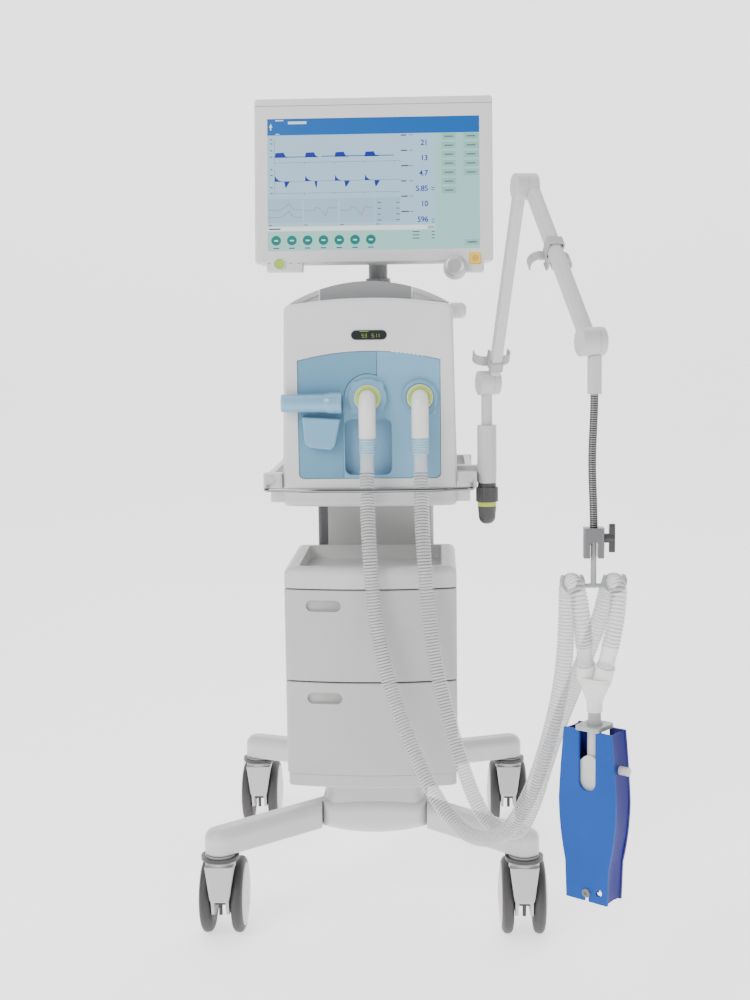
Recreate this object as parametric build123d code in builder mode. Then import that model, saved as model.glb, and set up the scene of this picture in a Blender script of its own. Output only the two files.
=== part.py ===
from build123d import *
from math import cos, pi, radians, sin, tan
import os

# A mechanical ventilator on its trolley, millimetres, +Z up, the front towards -Y.
# Everything is drawn about the trolley's own axis, midway between the four casters, and
# moved at the end so that the origin is under the middle of the rigid object, on the floor.

# ---------------------------------------------------------------- driving dimensions
RUNNING_FIT = 0.05        # radial clearance of a pin turning in its bore
GAP = 0.8                 # assembly gap between neighbouring covers
MOVING_GAP = 0.4          # gap between faces that move past each other

# casters
CASTER_X = 247.0          # swivel axes, half spacing across
CASTER_Y = 271.0          # swivel axes, half spacing front to back
WHEEL_D = 125.0
WHEEL_TRAIL = 40.0        # axle behind the swivel axis
WHEEL_INNER = 15.5        # inner face of each wheel from the caster's middle
TYRE_W = 20.5
HUB_BULGE = 5.0           # outer disc stands this far out of the tyre
AXLE_R = 5.0
YOKE_TOP_W = 47.0
YOKE_LOW_W = 32.0
YOKE_LOW_Z = 71.0
YOKE_HALF_DEPTH = 26.0
NECK_R = 24.6
RING_Z = 138.0
RING_T = 7.0
RING_W = 6.0
RING_TRAVEL = 5.0
KINGPIN_R = 6.0
KINGPIN_L = 28.0

# base
LEG_Z = 148.0             # underside of the legs
LEG_H = 42.0
LEG_END_R = 24.5
LEG_ROOT_R = 25.0
HUB_W = 178.0
HUB_Z0 = 146.0
HUB_H = 44.0
HUB_CROWN = 12.0          # rise and sag of the hub at its middle
HUB_FRONT = -150.0
HUB_BACK = 232.0
NECK_W = 164.0
NECK_FRONT = -140.0
NECK_BACK = 136.0

# cabinet
CAB_W = 284.0
CAB_FRONT = -216.0        # middle of the bowed front
CAB_BOW = 18.0            # the sides of the front stand this far back
CAB_BACK = 57.0
CAB_BOTTOM = 237.0
PLINTH_H = 22.0
LOWER_FRONT_H = 156.0
UPPER_FRONT_H = 152.0
FRONT_GAP = 2.5
FRONT_T = 18.0
SHELL_WALL = 3.0
SHELF_T = 4.0
TRAY_H = 34.0
TRAY_RIM = 25.0
TRAY_DEPTH = 24.0
DRAWER_TRAVEL = 200.0
DRAWER_WALL = 2.5
GRIP_W = 58.0
GRIP_H = 19.0
GRIP_X = -76.5

# column and platform
COLUMN_W = 208.0
COLUMN_D = 72.0
COLUMN_WALL = 5.0
PLATFORM_Z = 701.0
PLATFORM_H = 26.0
PLATFORM_W = 288.0
PLATFORM_FRONT = -160.0
PLATFORM_BACK = 258.0
RAIL_X = 160.0            # inner face of the equipment rails
RAIL_T = 10.0
RAIL_H = 25.0
RAIL_Z = 731.0
RAIL_FRONT = -128.0
RAIL_BACK = 150.0
BLOCK_T = 31.0
BLOCK_D = 30.0
BAR_R = 3.5
BAR_X = 169.0
BAR_Z = 734.5
BAR_FRONT = -222.0

# ventilation unit
UNIT_W = 290.0
UNIT_TOP_W = 277.0
UNIT_FRONT = -150.0
UNIT_DEPTH = 400.0
UNIT_SHOULDER = 1032.0    # height of the case at its sides
UNIT_CROWN = 1043.0       # and at its middle
UNIT_WALL = 3.0
FRONT_WALL = 8.0
PANEL_W = 234.0
PANEL_Z = 747.0
PANEL_SIDE_Z = 941.0
PANEL_CROWN_Z = 956.0
PANEL_T = 6.0
PANEL_SPLIT_X = 13.5
FLAP_AXIS_Z = 938.0
FLAP_T = 3.0
PORT_Z = 880.0
PORT_L_X = -2.0
PORT_R_X = 84.0
COLLAR_R = 31.0
CHANNEL_X0 = -41.0
CHANNEL_X1 = 37.0
CHANNEL_Z0 = 752.0
CHANNEL_Z1 = 845.0
ELBOW_R = 14.0
ELBOW_REACH = 31.0
HANDLE_X = 134.0
HANDLE_TOP = 1071.0
HANDLE_CORE_X0 = -82.0
HANDLE_CORE_X1 = 72.0
HANDLE_Y0 = -112.0
HANDLE_Y1 = 132.0

# display
SCREEN_W = 366.0
SCREEN_H = 229.0
SCREEN_Z = 1240.0
SCREEN_Y = 13.0
SCREEN_X = 5.0
TILT = 7.8
BEZEL_SIDE = 22.5
BEZEL_TOP = 35.0
BEZEL_BOTTOM = 21.0
MONITOR_D = 58.0
BEZEL_T = 14.0
KNOB_R = 18.5
KNOB_U = 140.0
KNOB_V = -146.0
NECK_POST_R = 17.0
NECK_POST_X = 8.0
NECK_POST_Y = 100.0

# hose support arm
ARM_AZIMUTH = 16.0        # the arm swings out of the fore-and-aft plane by this
POST_X = 194.0
POST_Y = -130.0
SLEEVE_R = 16.0
SLEEVE_Z0 = 749.0
SLEEVE_Z1 = 832.0
POST_R = 9.0
KNUCKLE_Z = 901.5
KNUCKLE_R = 20.0
KNUCKLE_HALF = 17.5
KNUCKLE_OFFSET = 2.9
LINK = 353.0
LOWER_ANGLE = 59.0
UPPER_ANGLE = -40.4
GOOSE_R = 5.5
GOOSE_L = 183.0
CLIP_SPAN = 58.0          # between the two hose clips of the hanger
CLIP_Z = 646.0
CLIP_ALONG = (8, -48, 4)   # run of the hoses through the clips

# breathing hoses and test lung
HOSE_D = 25.0
LUNG_YAW = -38.0
LUNG_X = 326.0
LUNG_Y = -585.0
Y_TOP = 533.0
Y_BOTTOM = 482.0
LUNG_TOP = 444.0
LUNG_H = 243.0
LUNG_TOP_W = 76.0
LUNG_WAIST_W = 92.0
LUNG_FOOT_W = 66.0
LUNG_T = 4.0
LUNG_FRONT_Y = 15.0      # front plate's back face, before the lung's own middle
LUNG_REAR_Y = -17.0      # rear plate's front face

HOSE_LEFT = [
    (-3, -183, 790), (-3, -196, 722), (1, -233, 640), (8, -244, 538), (24, -260, 452),
    (48, -284, 384), (74, -311, 323), (105, -343, 262), (153, -392, 215), (210, -450, 238),
    (246, -488, 320), (269, -511, 404), (283, -526, 475), (290, -533, 538), (291.5, -537, 594),
    (292, -540, 644), (300, -588, 648), (307, -596, 604), (311, -588, 565), (314, -579, 533),
]
HOSE_RIGHT = [
    (84, -183, 790), (85, -196, 722), (88, -233, 640), (95, -243, 538), (107, -257, 452),
    (124, -277, 383), (143, -300, 318), (163, -323, 262), (188, -352, 222), (230, -401, 224),
    (252, -427, 282), (268, -446, 350), (287, -468, 420), (307, -491, 482), (325, -512, 541),
    (341, -531, 594), (350, -540, 644), (358, -588, 648), (354, -600, 604), (346, -600, 565),
    (340, -592, 533),
]

parts = []


def keep(part, label):
    """Name a finished piece and put it on the list of nodes."""
    part.label = label
    parts.append(part)
    return part


def front_plane(y):
    """Plane facing the front at depth y: local x is X, local y is Z."""
    return Plane(origin=(0, y, 0), x_dir=(1, 0, 0), z_dir=(0, -1, 0))


def side_plane(x):
    """Plane facing right at x: local x is Y, local y is Z."""
    return Plane(origin=(x, 0, 0), x_dir=(0, 1, 0), z_dir=(1, 0, 0))


def level(z):
    """Horizontal plane at height z."""
    return Plane.XY.offset(z)


def bowed_outline(width, front, back, bow, corner):
    """Plan of a cabinet-like piece: bowed front, rounded corners."""
    half = width / 2
    with BuildSketch() as outline:
        with BuildLine():
            ThreePointArc((-half, front + bow), (0, front), (half, front + bow))
            Polyline((half, front + bow), (half, back), (-half, back), (-half, front + bow))
        make_face()
        fillet(outline.vertices().group_by(Axis.Y)[0], corner)
        fillet(outline.vertices().group_by(Axis.Y)[-1], corner / 3)
    return outline.sketch


# ================================================================ casters
def caster(side, cx, cy):
    """Twin-wheel caster with a central ring brake: yoke, brake ring and wheels."""
    axle_z = WHEEL_D / 2
    axle = Plane(origin=(cx, cy + WHEEL_TRAIL, axle_z), x_dir=(0, 1, 0), z_dir=(1, 0, 0))
    foot = Plane(origin=(cx, cy, 0))
    facing = Plane(origin=(cx, cy - YOKE_HALF_DEPTH, 0), x_dir=(1, 0, 0), z_dir=(0, -1, 0))
    middle = Plane(origin=(cx, cy, 0), x_dir=(0, 1, 0), z_dir=(1, 0, 0))
    wheel_outer = WHEEL_INNER + TYRE_W
    shoulder_z = RING_Z - RING_TRAVEL - 2
    lobe_inner = 9.5
    web_half = WHEEL_INNER - 1.0
    pin_y = -9.0

    with BuildPart() as yoke:
        with BuildSketch(facing) as housing:
            with BuildLine():
                Polyline(
                    (-YOKE_TOP_W / 2, shoulder_z), (YOKE_TOP_W / 2, shoulder_z),
                    (YOKE_LOW_W / 2, YOKE_LOW_Z), (-YOKE_LOW_W / 2, YOKE_LOW_Z), close=True,
                )
            make_face()
            fillet(housing.vertices().group_by(Axis.Y)[0], 6)
        extrude(amount=-2 * YOKE_HALF_DEPTH)
        fillet(yoke.edges().filter_by(GeomType.LINE).group_by(Axis.Y)[0].filter_by(
            lambda edge: edge.length > 30 and abs(edge.tangent_at(0.5).Z) > 0.5), 5)
        for offset in (web_half + 0.3, -web_half - 0.3):
            with BuildSketch(axle.offset(offset)):
                Circle(WHEEL_D / 2 + 2.5)
            extrude(amount=40 if offset > 0 else -40, mode=Mode.SUBTRACT)
        with BuildSketch(middle) as web:
            with BuildLine():
                Polyline(
                    (-18, shoulder_z - 2), (24, shoulder_z - 2), (WHEEL_TRAIL + 16, axle_z + 8),
                    (WHEEL_TRAIL, axle_z - 15), (2, 46), (-14, 47), (-21, YOKE_LOW_Z), close=True,
                )
            make_face()
            fillet(web.vertices(), 5)
        extrude(amount=web_half, both=True)
        with BuildSketch(facing) as fork_slot:
            with Locations((0, YOKE_LOW_Z / 2)):
                Rectangle(2 * lobe_inner, YOKE_LOW_Z)
        extrude(amount=-2 * YOKE_HALF_DEPTH - 40, mode=Mode.SUBTRACT)
        with BuildSketch(axle):
            Circle(AXLE_R)
        extrude(amount=wheel_outer - 3, both=True)
        with BuildSketch(foot.offset(shoulder_z - 4)):
            Circle(NECK_R)
        extrude(amount=LEG_Z - 1 - shoulder_z + 4)
        with BuildSketch(foot.offset(LEG_Z - 1)):
            Circle(KINGPIN_R)
        extrude(amount=KINGPIN_L)
        with BuildSketch(foot.offset(YOKE_LOW_Z - 1)):
            with Locations((0, pin_y)):
                Circle(3.0 + MOVING_GAP)
        extrude(amount=40, mode=Mode.SUBTRACT)
    keep(yoke.part, f"caster_{side}_yoke")

    inward = Vector(-cx, -cy).normalized() * (NECK_R + RING_W + 2)
    with BuildPart() as brake_ring:
        with BuildSketch(foot.offset(RING_Z)):
            Circle(NECK_R + MOVING_GAP + RING_W)
            with Locations((inward.X, inward.Y)):
                Circle(5.5)
            Circle(NECK_R + MOVING_GAP, mode=Mode.SUBTRACT)
        extrude(amount=RING_T)
        fillet(brake_ring.edges().group_by(Axis.Z)[0], 2)
        with BuildSketch(foot.offset(YOKE_LOW_Z - 7)):
            with Locations((0, pin_y)):
                Rectangle(2 * lobe_inner - 2, 8)
        extrude(amount=6)
        with BuildSketch(foot.offset(46)):
            with Locations((0, pin_y)):
                Circle(3.0)
        extrude(amount=56)
    keep(brake_ring.part, f"caster_{side}_brake_ring")

    bore_r = AXLE_R + RUNNING_FIT
    tread = WHEEL_D / 2
    with BuildPart() as wheels:
        for hand in (1, -1):
            section = Plane(origin=(cx, cy + WHEEL_TRAIL, axle_z), x_dir=(hand, 0, 0), z_dir=(0, -1, 0))
            with BuildSketch(section):
                with BuildLine():
                    Polyline(
                        (wheel_outer - 2.5, 0), (wheel_outer - 2.5, bore_r), (WHEEL_INNER, bore_r),
                        (WHEEL_INNER, tread - 12),
                    )
                    ThreePointArc((WHEEL_INNER, tread - 12), (WHEEL_INNER + 2.2, tread - 3.4),
                                  (WHEEL_INNER + 8, tread))
                    Line((WHEEL_INNER + 8, tread), (wheel_outer - 7, tread))
                    ThreePointArc((wheel_outer - 7, tread), (wheel_outer - 1.8, tread - 3.4),
                                  (wheel_outer, tread - 11))
                    dome = wheel_outer + HUB_BULGE
                    ThreePointArc((wheel_outer, tread - 11), (dome - HUB_BULGE / 4, tread * 0.45), (dome, 4))
                    Polyline((dome, 4), (dome, 0), (wheel_outer - 2.5, 0))
                make_face()
            revolve(axis=Axis((cx, cy + WHEEL_TRAIL, axle_z), (1, 0, 0)))
    keep(wheels.part, f"caster_{side}_wheels")


for name, sign_x, sign_y in (
    ("front_left", -1, -1), ("front_right", 1, -1), ("rear_left", -1, 1), ("rear_right", 1, 1),
):
    caster(name, sign_x * CASTER_X, sign_y * CASTER_Y)

# ================================================================ base
# Four cast legs reach from the hub to the casters; each end is a domed boss over its kingpin.
LEG_ROOTS = {-1: (HUB_W / 2 - 18, HUB_FRONT + 42), 1: (HUB_W / 2 - 18, HUB_BACK - 28)}
with BuildPart() as base_legs:
    for sign_x in (-1, 1):
        for sign_y in (-1, 1):
            root_x, root_y = LEG_ROOTS[sign_y]
            with BuildSketch(level(LEG_Z)) as leg_plan:
                with Locations((sign_x * CASTER_X, sign_y * CASTER_Y)):
                    Circle(LEG_END_R)
                with Locations((sign_x * root_x, root_y)):
                    Circle(LEG_ROOT_R)
                make_hull()
            extrude(amount=LEG_H)
    fillet(base_legs.edges().group_by(Axis.Z)[-1], 17)
    fillet(base_legs.edges().group_by(Axis.Z)[0], 4)
    with BuildSketch(level(LEG_Z - 1)):
        Rectangle(HUB_W + GAP, 2 * CASTER_Y)
    extrude(amount=LEG_H + 2, mode=Mode.SUBTRACT)
    with BuildSketch(level(LEG_Z)):
        with GridLocations(2 * CASTER_X, 2 * CASTER_Y, 2, 2):
            Circle(KINGPIN_R + RUNNING_FIT)
    extrude(amount=KINGPIN_L + 1, mode=Mode.SUBTRACT)
keep(base_legs.part, "base_legs")

HUB_TOP = HUB_Z0 + HUB_H
with BuildPart() as base_hub:
    with BuildSketch(front_plane(HUB_FRONT)):
        with BuildLine():
            ThreePointArc((-HUB_W / 2, HUB_TOP), (0, HUB_TOP + HUB_CROWN / 2), (HUB_W / 2, HUB_TOP))
            Line((HUB_W / 2, HUB_TOP), (HUB_W / 2, HUB_Z0))
            ThreePointArc((HUB_W / 2, HUB_Z0), (0, HUB_Z0 - HUB_CROWN), (-HUB_W / 2, HUB_Z0))
            Line((-HUB_W / 2, HUB_Z0), (-HUB_W / 2, HUB_TOP))
        make_face()
    extrude(amount=HUB_FRONT - HUB_BACK)
    fillet(base_hub.edges().group_by(Axis.Y)[0], 20)
    fillet(base_hub.edges().group_by(Axis.Y)[-1], 8)
    neck_mid = (NECK_FRONT + NECK_BACK) / 2
    with BuildSketch(level(HUB_TOP - 6)):
        with Locations((0, neck_mid)):
            RectangleRounded(NECK_W + 6, NECK_BACK - NECK_FRONT + 6, 22)
    with BuildSketch(level(CAB_BOTTOM)):
        with Locations((0, neck_mid)):
            RectangleRounded(NECK_W, NECK_BACK - NECK_FRONT, 20)
    loft()
keep(base_hub.part, "base_hub")

# ================================================================ cabinet
LOWER_Z = CAB_BOTTOM + PLINTH_H
UPPER_Z = LOWER_Z + LOWER_FRONT_H + FRONT_GAP
TRAY_Z = UPPER_Z + UPPER_FRONT_H + FRONT_GAP
FRONT_BACK_Y = CAB_FRONT + CAB_BOW + FRONT_T
INNER_W = CAB_W - 2 * SHELL_WALL

with BuildPart() as cabinet_shell:
    with BuildSketch(level(CAB_BOTTOM)):
        add(bowed_outline(CAB_W - 4, CAB_FRONT + 3, CAB_BACK, CAB_BOW, 12))
    extrude(amount=PLINTH_H - 1)
    fillet(cabinet_shell.edges().group_by(Axis.Z)[0], 3)
    with BuildSketch(level(CAB_BOTTOM + PLINTH_H - 2)):
        with Locations((0, (FRONT_BACK_Y + GAP + CAB_BACK) / 2)):
            Rectangle(CAB_W - 2, CAB_BACK - FRONT_BACK_Y - GAP)
    extrude(amount=TRAY_Z - CAB_BOTTOM - PLINTH_H + 2)
    for bay_z, bay_h in ((LOWER_Z, LOWER_FRONT_H - SHELF_T), (UPPER_Z, UPPER_FRONT_H - SHELF_T)):
        with BuildSketch(front_plane(FRONT_BACK_Y)):
            with Locations((0, bay_z + bay_h / 2)):
                Rectangle(INNER_W - 2, bay_h)
        extrude(amount=-(CAB_BACK - SHELL_WALL - FRONT_BACK_Y), mode=Mode.SUBTRACT)
keep(cabinet_shell.part, "cabinet_shell")


def front_panel(bottom, height, grip_z):
    """Bowed drawer front with a pill-shaped finger recess at its upper left."""
    with BuildPart() as panel:
        with BuildSketch(level(bottom)):
            add(bowed_outline(CAB_W, CAB_FRONT, CAB_BACK, CAB_BOW, 12))
            with Locations((0, FRONT_BACK_Y + 200)):
                Rectangle(CAB_W + 10, 400, mode=Mode.SUBTRACT)
        extrude(amount=height)
        fillet(panel.edges().group_by(Axis.Z)[-1], 1.5)
        fillet(panel.edges().group_by(Axis.Z)[0], 1.5)
        with BuildSketch(front_plane(CAB_FRONT - 5)):
            with Locations((GRIP_X, grip_z)):
                SlotOverall(GRIP_W, GRIP_H)
        extrude(amount=-21, mode=Mode.SUBTRACT)
    return panel.part


# The drawers: a bowed front carrying an open-topped box on runners.
def drawer(bottom, height, box_depth, box_height):
    front = front_panel(bottom, height, bottom + height - 26)
    with BuildPart() as box:
        add(front)
        with BuildSketch(level(bottom + 6)):
            with Locations((0, FRONT_BACK_Y + box_depth / 2)):
                Rectangle(INNER_W - 16, box_depth)
        extrude(amount=box_height)
        with BuildSketch(level(bottom + 6 + DRAWER_WALL)):
            with Locations((0, FRONT_BACK_Y + box_depth / 2)):
                Rectangle(INNER_W - 16 - 2 * DRAWER_WALL, box_depth - 2 * DRAWER_WALL)
        extrude(amount=box_height, mode=Mode.SUBTRACT)
        for hand in (-1, 1):
            with BuildSketch(front_plane(FRONT_BACK_Y)):
                with Locations((hand * (INNER_W / 2 - 8 + 2.5), bottom + 50)):
                    Rectangle(5, 14)
            extrude(amount=-box_depth)
    return box.part


keep(drawer(UPPER_Z, UPPER_FRONT_H, 225, 112), "drawer_upper")
keep(drawer(LOWER_Z, LOWER_FRONT_H, 118, 112), "drawer_lower")

with BuildPart() as power_unit:
    with BuildSketch(level(LOWER_Z + GAP)):
        with Locations((0, CAB_BACK - SHELL_WALL - 4 - 46)):
            RectangleRounded(INNER_W - 24, 92, 6)
    extrude(amount=120)
    with BuildSketch(front_plane(CAB_BACK - SHELL_WALL - 96)):
        with Locations((0, LOWER_Z + 60)):
            with GridLocations(14, 1, 14, 1):
                SlotOverall(60, 5, rotation=90)
    extrude(amount=-3, mode=Mode.SUBTRACT)
keep(power_unit.part, "power_unit")

TRAY_TOP = TRAY_Z + TRAY_H
with BuildPart() as cabinet_tray:
    with BuildSketch(level(TRAY_Z)):
        add(bowed_outline(CAB_W, CAB_FRONT, CAB_BACK, CAB_BOW, 14))
    extrude(amount=TRAY_H)
    fillet(cabinet_tray.edges().group_by(Axis.Z)[-1], 13)
    with BuildSketch(level(TRAY_TOP - TRAY_DEPTH)):
        with Locations((0, (CAB_FRONT + CAB_BOW + 14 + CAB_BACK - 22) / 2)):
            RectangleRounded(CAB_W - 2 * TRAY_RIM - 2, CAB_BACK - 22 - CAB_FRONT - CAB_BOW - 14, 10)
    extrude(amount=TRAY_DEPTH, taper=-4, mode=Mode.SUBTRACT)
keep(cabinet_tray.part, "cabinet_tray")

# ================================================================ column and platform
COLUMN_Y = CAB_BACK + COLUMN_D / 2 + 0.3
with BuildPart() as mast_column:
    with BuildSketch(level(CAB_BOTTOM)):
        with Locations((0, COLUMN_Y)):
            RectangleRounded(COLUMN_W, COLUMN_D, 6)
            RectangleRounded(COLUMN_W - 2 * COLUMN_WALL, COLUMN_D - 2 * COLUMN_WALL, 3, mode=Mode.SUBTRACT)
    extrude(amount=PLATFORM_Z - CAB_BOTTOM)
keep(mast_column.part, "mast_column")

with BuildPart() as platform:
    with BuildSketch(level(PLATFORM_Z)):
        add(bowed_outline(PLATFORM_W, PLATFORM_FRONT - 6, PLATFORM_BACK, 10, 14))
    extrude(amount=PLATFORM_H)
    fillet(platform.edges().group_by(Axis.Z)[0], 8)
    fillet(platform.edges().group_by(Axis.Z)[-1], 2)
    with BuildSketch(level(PLATFORM_Z - 1)):
        with Locations((0, (PLATFORM_FRONT + 20 + COLUMN_Y - COLUMN_D / 2 - 4) / 2)):
            Rectangle(PLATFORM_W - 24, COLUMN_Y - COLUMN_D / 2 - 4 - PLATFORM_FRONT - 20)
        with Locations((0, (COLUMN_Y + COLUMN_D / 2 + 4 + PLATFORM_BACK - 12) / 2)):
            Rectangle(PLATFORM_W - 24, PLATFORM_BACK - 12 - COLUMN_Y - COLUMN_D / 2 - 4)
    extrude(amount=PLATFORM_H - 3, mode=Mode.SUBTRACT)
keep(platform.part, "platform")

# Equipment rails: a flat bar on each side, held by a block at the front and one at the back.
BLOCK_IN = UNIT_W / 2 + GAP
RAIL_MID_Z = RAIL_Z + RAIL_H / 2
with BuildPart() as side_rails:
    for hand in (-1, 1):
        with BuildSketch(level(RAIL_Z)):
            with Locations((hand * (RAIL_X + RAIL_T / 2), (RAIL_FRONT + RAIL_BACK) / 2)):
                Rectangle(RAIL_T, RAIL_BACK - RAIL_FRONT)
        extrude(amount=RAIL_H)
        with BuildSketch(level(RAIL_Z)):
            with Locations((hand * (BLOCK_IN + BLOCK_T / 2), RAIL_FRONT - BLOCK_D / 2)):
                RectangleRounded(BLOCK_T, BLOCK_D, 4)
            with Locations((hand * (BLOCK_IN + BLOCK_T / 2 - 1), RAIL_BACK + 7)):
                RectangleRounded(BLOCK_T - 2, 16, 3)
        extrude(amount=RAIL_H)
    for inner, bottom, top in ((PLATFORM_W / 2, PLATFORM_Z + 6, PLATFORM_Z + PLATFORM_H - 2),
                               (BLOCK_IN, PLATFORM_Z + PLATFORM_H - 3, RAIL_Z + 1)):
        with BuildSketch(level(bottom)):
            for hand in (-1, 1):
                with Locations((hand * (inner + BLOCK_IN + 20) / 2, RAIL_FRONT - BLOCK_D / 2 + 6)):
                    Rectangle(BLOCK_IN + 20 - inner, 14)
                with Locations((hand * (inner + BLOCK_IN + 20) / 2, RAIL_BACK + 7)):
                    Rectangle(BLOCK_IN + 20 - inner, 14)
        extrude(amount=top - bottom)
    for hand in (-1, 1):
        with BuildSketch(front_plane(RAIL_FRONT - BLOCK_D)):
            with Locations((hand * (BLOCK_IN + BLOCK_T / 2 + 3), RAIL_MID_Z + 2)):
                Circle(6)
        extrude(amount=3)
keep(side_rails.part, "side_rails")

# Push handle: a bent rod bowed forwards, its ends let into the two front blocks.
BAR_SIDE = BAR_FRONT + 21
with BuildPart() as front_handle_bar:
    with BuildLine():
        FilletPolyline(
            (-BAR_X, RAIL_FRONT - BLOCK_D - 0.2, BAR_Z), (-BAR_X, BAR_SIDE, BAR_Z),
            (-100, BAR_FRONT + 5, BAR_Z), (0, BAR_FRONT, BAR_Z), (100, BAR_FRONT + 5, BAR_Z),
            (BAR_X, BAR_SIDE, BAR_Z), (BAR_X, RAIL_FRONT - BLOCK_D - 0.2, BAR_Z),
            radius=[12, 300, 700, 300, 12],
        )
    with BuildSketch(Plane(origin=(-BAR_X, RAIL_FRONT - BLOCK_D - 0.2, BAR_Z), z_dir=(0, -1, 0))):
        Circle(BAR_R)
    sweep()
keep(front_handle_bar.part, "front_handle_bar")

# ================================================================ ventilation unit
UNIT_Z = PLATFORM_Z + PLATFORM_H
UNIT_BACK = UNIT_FRONT + UNIT_DEPTH


def case_outline(inset):
    """Front view of the case: sides leaning in a little, arched top."""
    low = UNIT_W / 2 - inset
    top = UNIT_TOP_W / 2 - inset
    with BuildSketch() as outline:
        with BuildLine():
            Polyline((-top, UNIT_SHOULDER - inset), (-low, UNIT_Z + inset), (low, UNIT_Z + inset),
                     (top, UNIT_SHOULDER - inset))
            ThreePointArc((top, UNIT_SHOULDER - inset), (0, UNIT_CROWN - inset),
                          (-top, UNIT_SHOULDER - inset))
        make_face()
        fillet(outline.vertices().group_by(Axis.Y)[-1], max(13 - inset, 1))
    return outline.sketch


def panel_outline(grow):
    """Front view of the connector panel: straight sides, rounded foot, arched top."""
    half = PANEL_W / 2 + grow
    with BuildSketch() as outline:
        with BuildLine():
            Polyline((-half, PANEL_SIDE_Z + grow), (-half, PANEL_Z - grow), (half, PANEL_Z - grow),
                     (half, PANEL_SIDE_Z + grow))
            ThreePointArc((half, PANEL_SIDE_Z + grow), (0, PANEL_CROWN_Z + grow),
                          (-half, PANEL_SIDE_Z + grow))
        make_face()
        fillet(outline.vertices().group_by(Axis.Y)[0], 9)
    return outline.sketch


FLAP_AXIS_Y = UNIT_FRONT + 1 + FLAP_T / 2
FLAP_PIN_R = 1.1
with BuildPart() as unit_case:
    with BuildSketch(front_plane(UNIT_FRONT)):
        add(case_outline(0))
    extrude(amount=-UNIT_DEPTH)
    fillet(unit_case.edges().group_by(Axis.Y)[0], 7)
    with BuildSketch(front_plane(UNIT_FRONT + FRONT_WALL)):
        add(case_outline(UNIT_WALL))
    extrude(amount=-UNIT_DEPTH, mode=Mode.SUBTRACT)
    with BuildSketch(front_plane(UNIT_FRONT - 1)):
        add(panel_outline(GAP))
    extrude(amount=-FRONT_WALL - 2, mode=Mode.SUBTRACT)
    with BuildSketch(side_plane(-PANEL_W / 2 - 6)):
        with Locations((FLAP_AXIS_Y, FLAP_AXIS_Z)):
            Circle(FLAP_PIN_R + RUNNING_FIT)
    extrude(amount=6, mode=Mode.SUBTRACT)
    with BuildSketch(side_plane(UNIT_TOP_W / 2 - 2)):
        with Locations((40, UNIT_SHOULDER - 11)):
            Circle(14)
    extrude(amount=28)
    fillet(unit_case.edges().group_by(Axis.X)[-1], 10)
keep(unit_case.part, "unit_case")

# Fixed blue panel: right half, valve barrel and the channel that the left hose hangs in.
FIXED_Y = UNIT_FRONT + 1
BARREL_R = 38.5
BARREL_D = 27.0
FLAP_EDGE_X = PANEL_SPLIT_X - MOVING_GAP
FLAP_LOW_X = CHANNEL_X0 - 2.5
with BuildPart() as blue_panel:
    with BuildSketch(front_plane(FIXED_Y)):
        with Locations((PANEL_SPLIT_X + MOVING_GAP + 100, 850)):
            Rectangle(200, 300)
        with Locations(((FLAP_LOW_X + 1 + PANEL_SPLIT_X + 1) / 2, (PANEL_Z + PORT_Z) / 2)):
            Rectangle(PANEL_SPLIT_X + 1 - FLAP_LOW_X - 1, PORT_Z - PANEL_Z)
        with Locations((PORT_L_X, PORT_Z)):
            Circle(BARREL_R)
        add(panel_outline(0), mode=Mode.INTERSECT)
    extrude(amount=-PANEL_T)
    with BuildSketch(front_plane(FIXED_Y)):
        with Locations((PORT_L_X, PORT_Z)):
            Circle(BARREL_R)
        with Locations(((CHANNEL_X0 + CHANNEL_X1) / 2, (CHANNEL_Z0 + CHANNEL_Z1) / 2)):
            RectangleRounded(CHANNEL_X1 - CHANNEL_X0 + 4, CHANNEL_Z1 - CHANNEL_Z0 + 4, 14)
    extrude(amount=-BARREL_D)
    with BuildSketch(front_plane(FIXED_Y)):
        with Locations(((CHANNEL_X0 + CHANNEL_X1) / 2, (CHANNEL_Z0 + CHANNEL_Z1) / 2)):
            RectangleRounded(CHANNEL_X1 - CHANNEL_X0, CHANNEL_Z1 - CHANNEL_Z0, 12)
    extrude(amount=-BARREL_D + 3, mode=Mode.SUBTRACT)
    with BuildSketch(front_plane(FIXED_Y + BARREL_D - 4)):
        with Locations(((FLAP_LOW_X - PANEL_W / 2 + 1) / 2 + 2, (PANEL_Z + PORT_Z + 30) / 2)):
            Rectangle(FLAP_LOW_X + PANEL_W / 2 + 4, PORT_Z + 30 - PANEL_Z - 2)
    extrude(amount=-3)
    with BuildSketch(side_plane(PANEL_SPLIT_X)):
        with Locations((FLAP_AXIS_Y, FLAP_AXIS_Z)):
            Circle(FLAP_PIN_R + RUNNING_FIT)
    extrude(amount=6, mode=Mode.SUBTRACT)
keep(blue_panel.part, "blue_panel")

# Translucent flap, turning on a pin at each side just under its arched edge.
with BuildPart() as blue_flap:
    with BuildSketch(front_plane(FIXED_Y)):
        with Locations((FLAP_EDGE_X - 100, 850)):
            Rectangle(200, 300)
        add(panel_outline(0), mode=Mode.INTERSECT)
        with Locations((FLAP_LOW_X + 100, (PORT_Z + 700) / 2)):
            Rectangle(200, PORT_Z - 700, mode=Mode.SUBTRACT)
        with Locations((PORT_L_X, PORT_Z)):
            Circle(BARREL_R + 1, mode=Mode.SUBTRACT)
    extrude(amount=-FLAP_T)
    with BuildSketch(side_plane(-PANEL_W / 2 - 4)):
        with Locations((FLAP_AXIS_Y, FLAP_AXIS_Z)):
            Circle(FLAP_PIN_R)
    extrude(amount=5)
    with BuildSketch(side_plane(FLAP_EDGE_X - 1)):
        with Locations((FLAP_AXIS_Y, FLAP_AXIS_Z)):
            Circle(FLAP_PIN_R)
    extrude(amount=5)
keep(blue_flap.part, "blue_flap")

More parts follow.
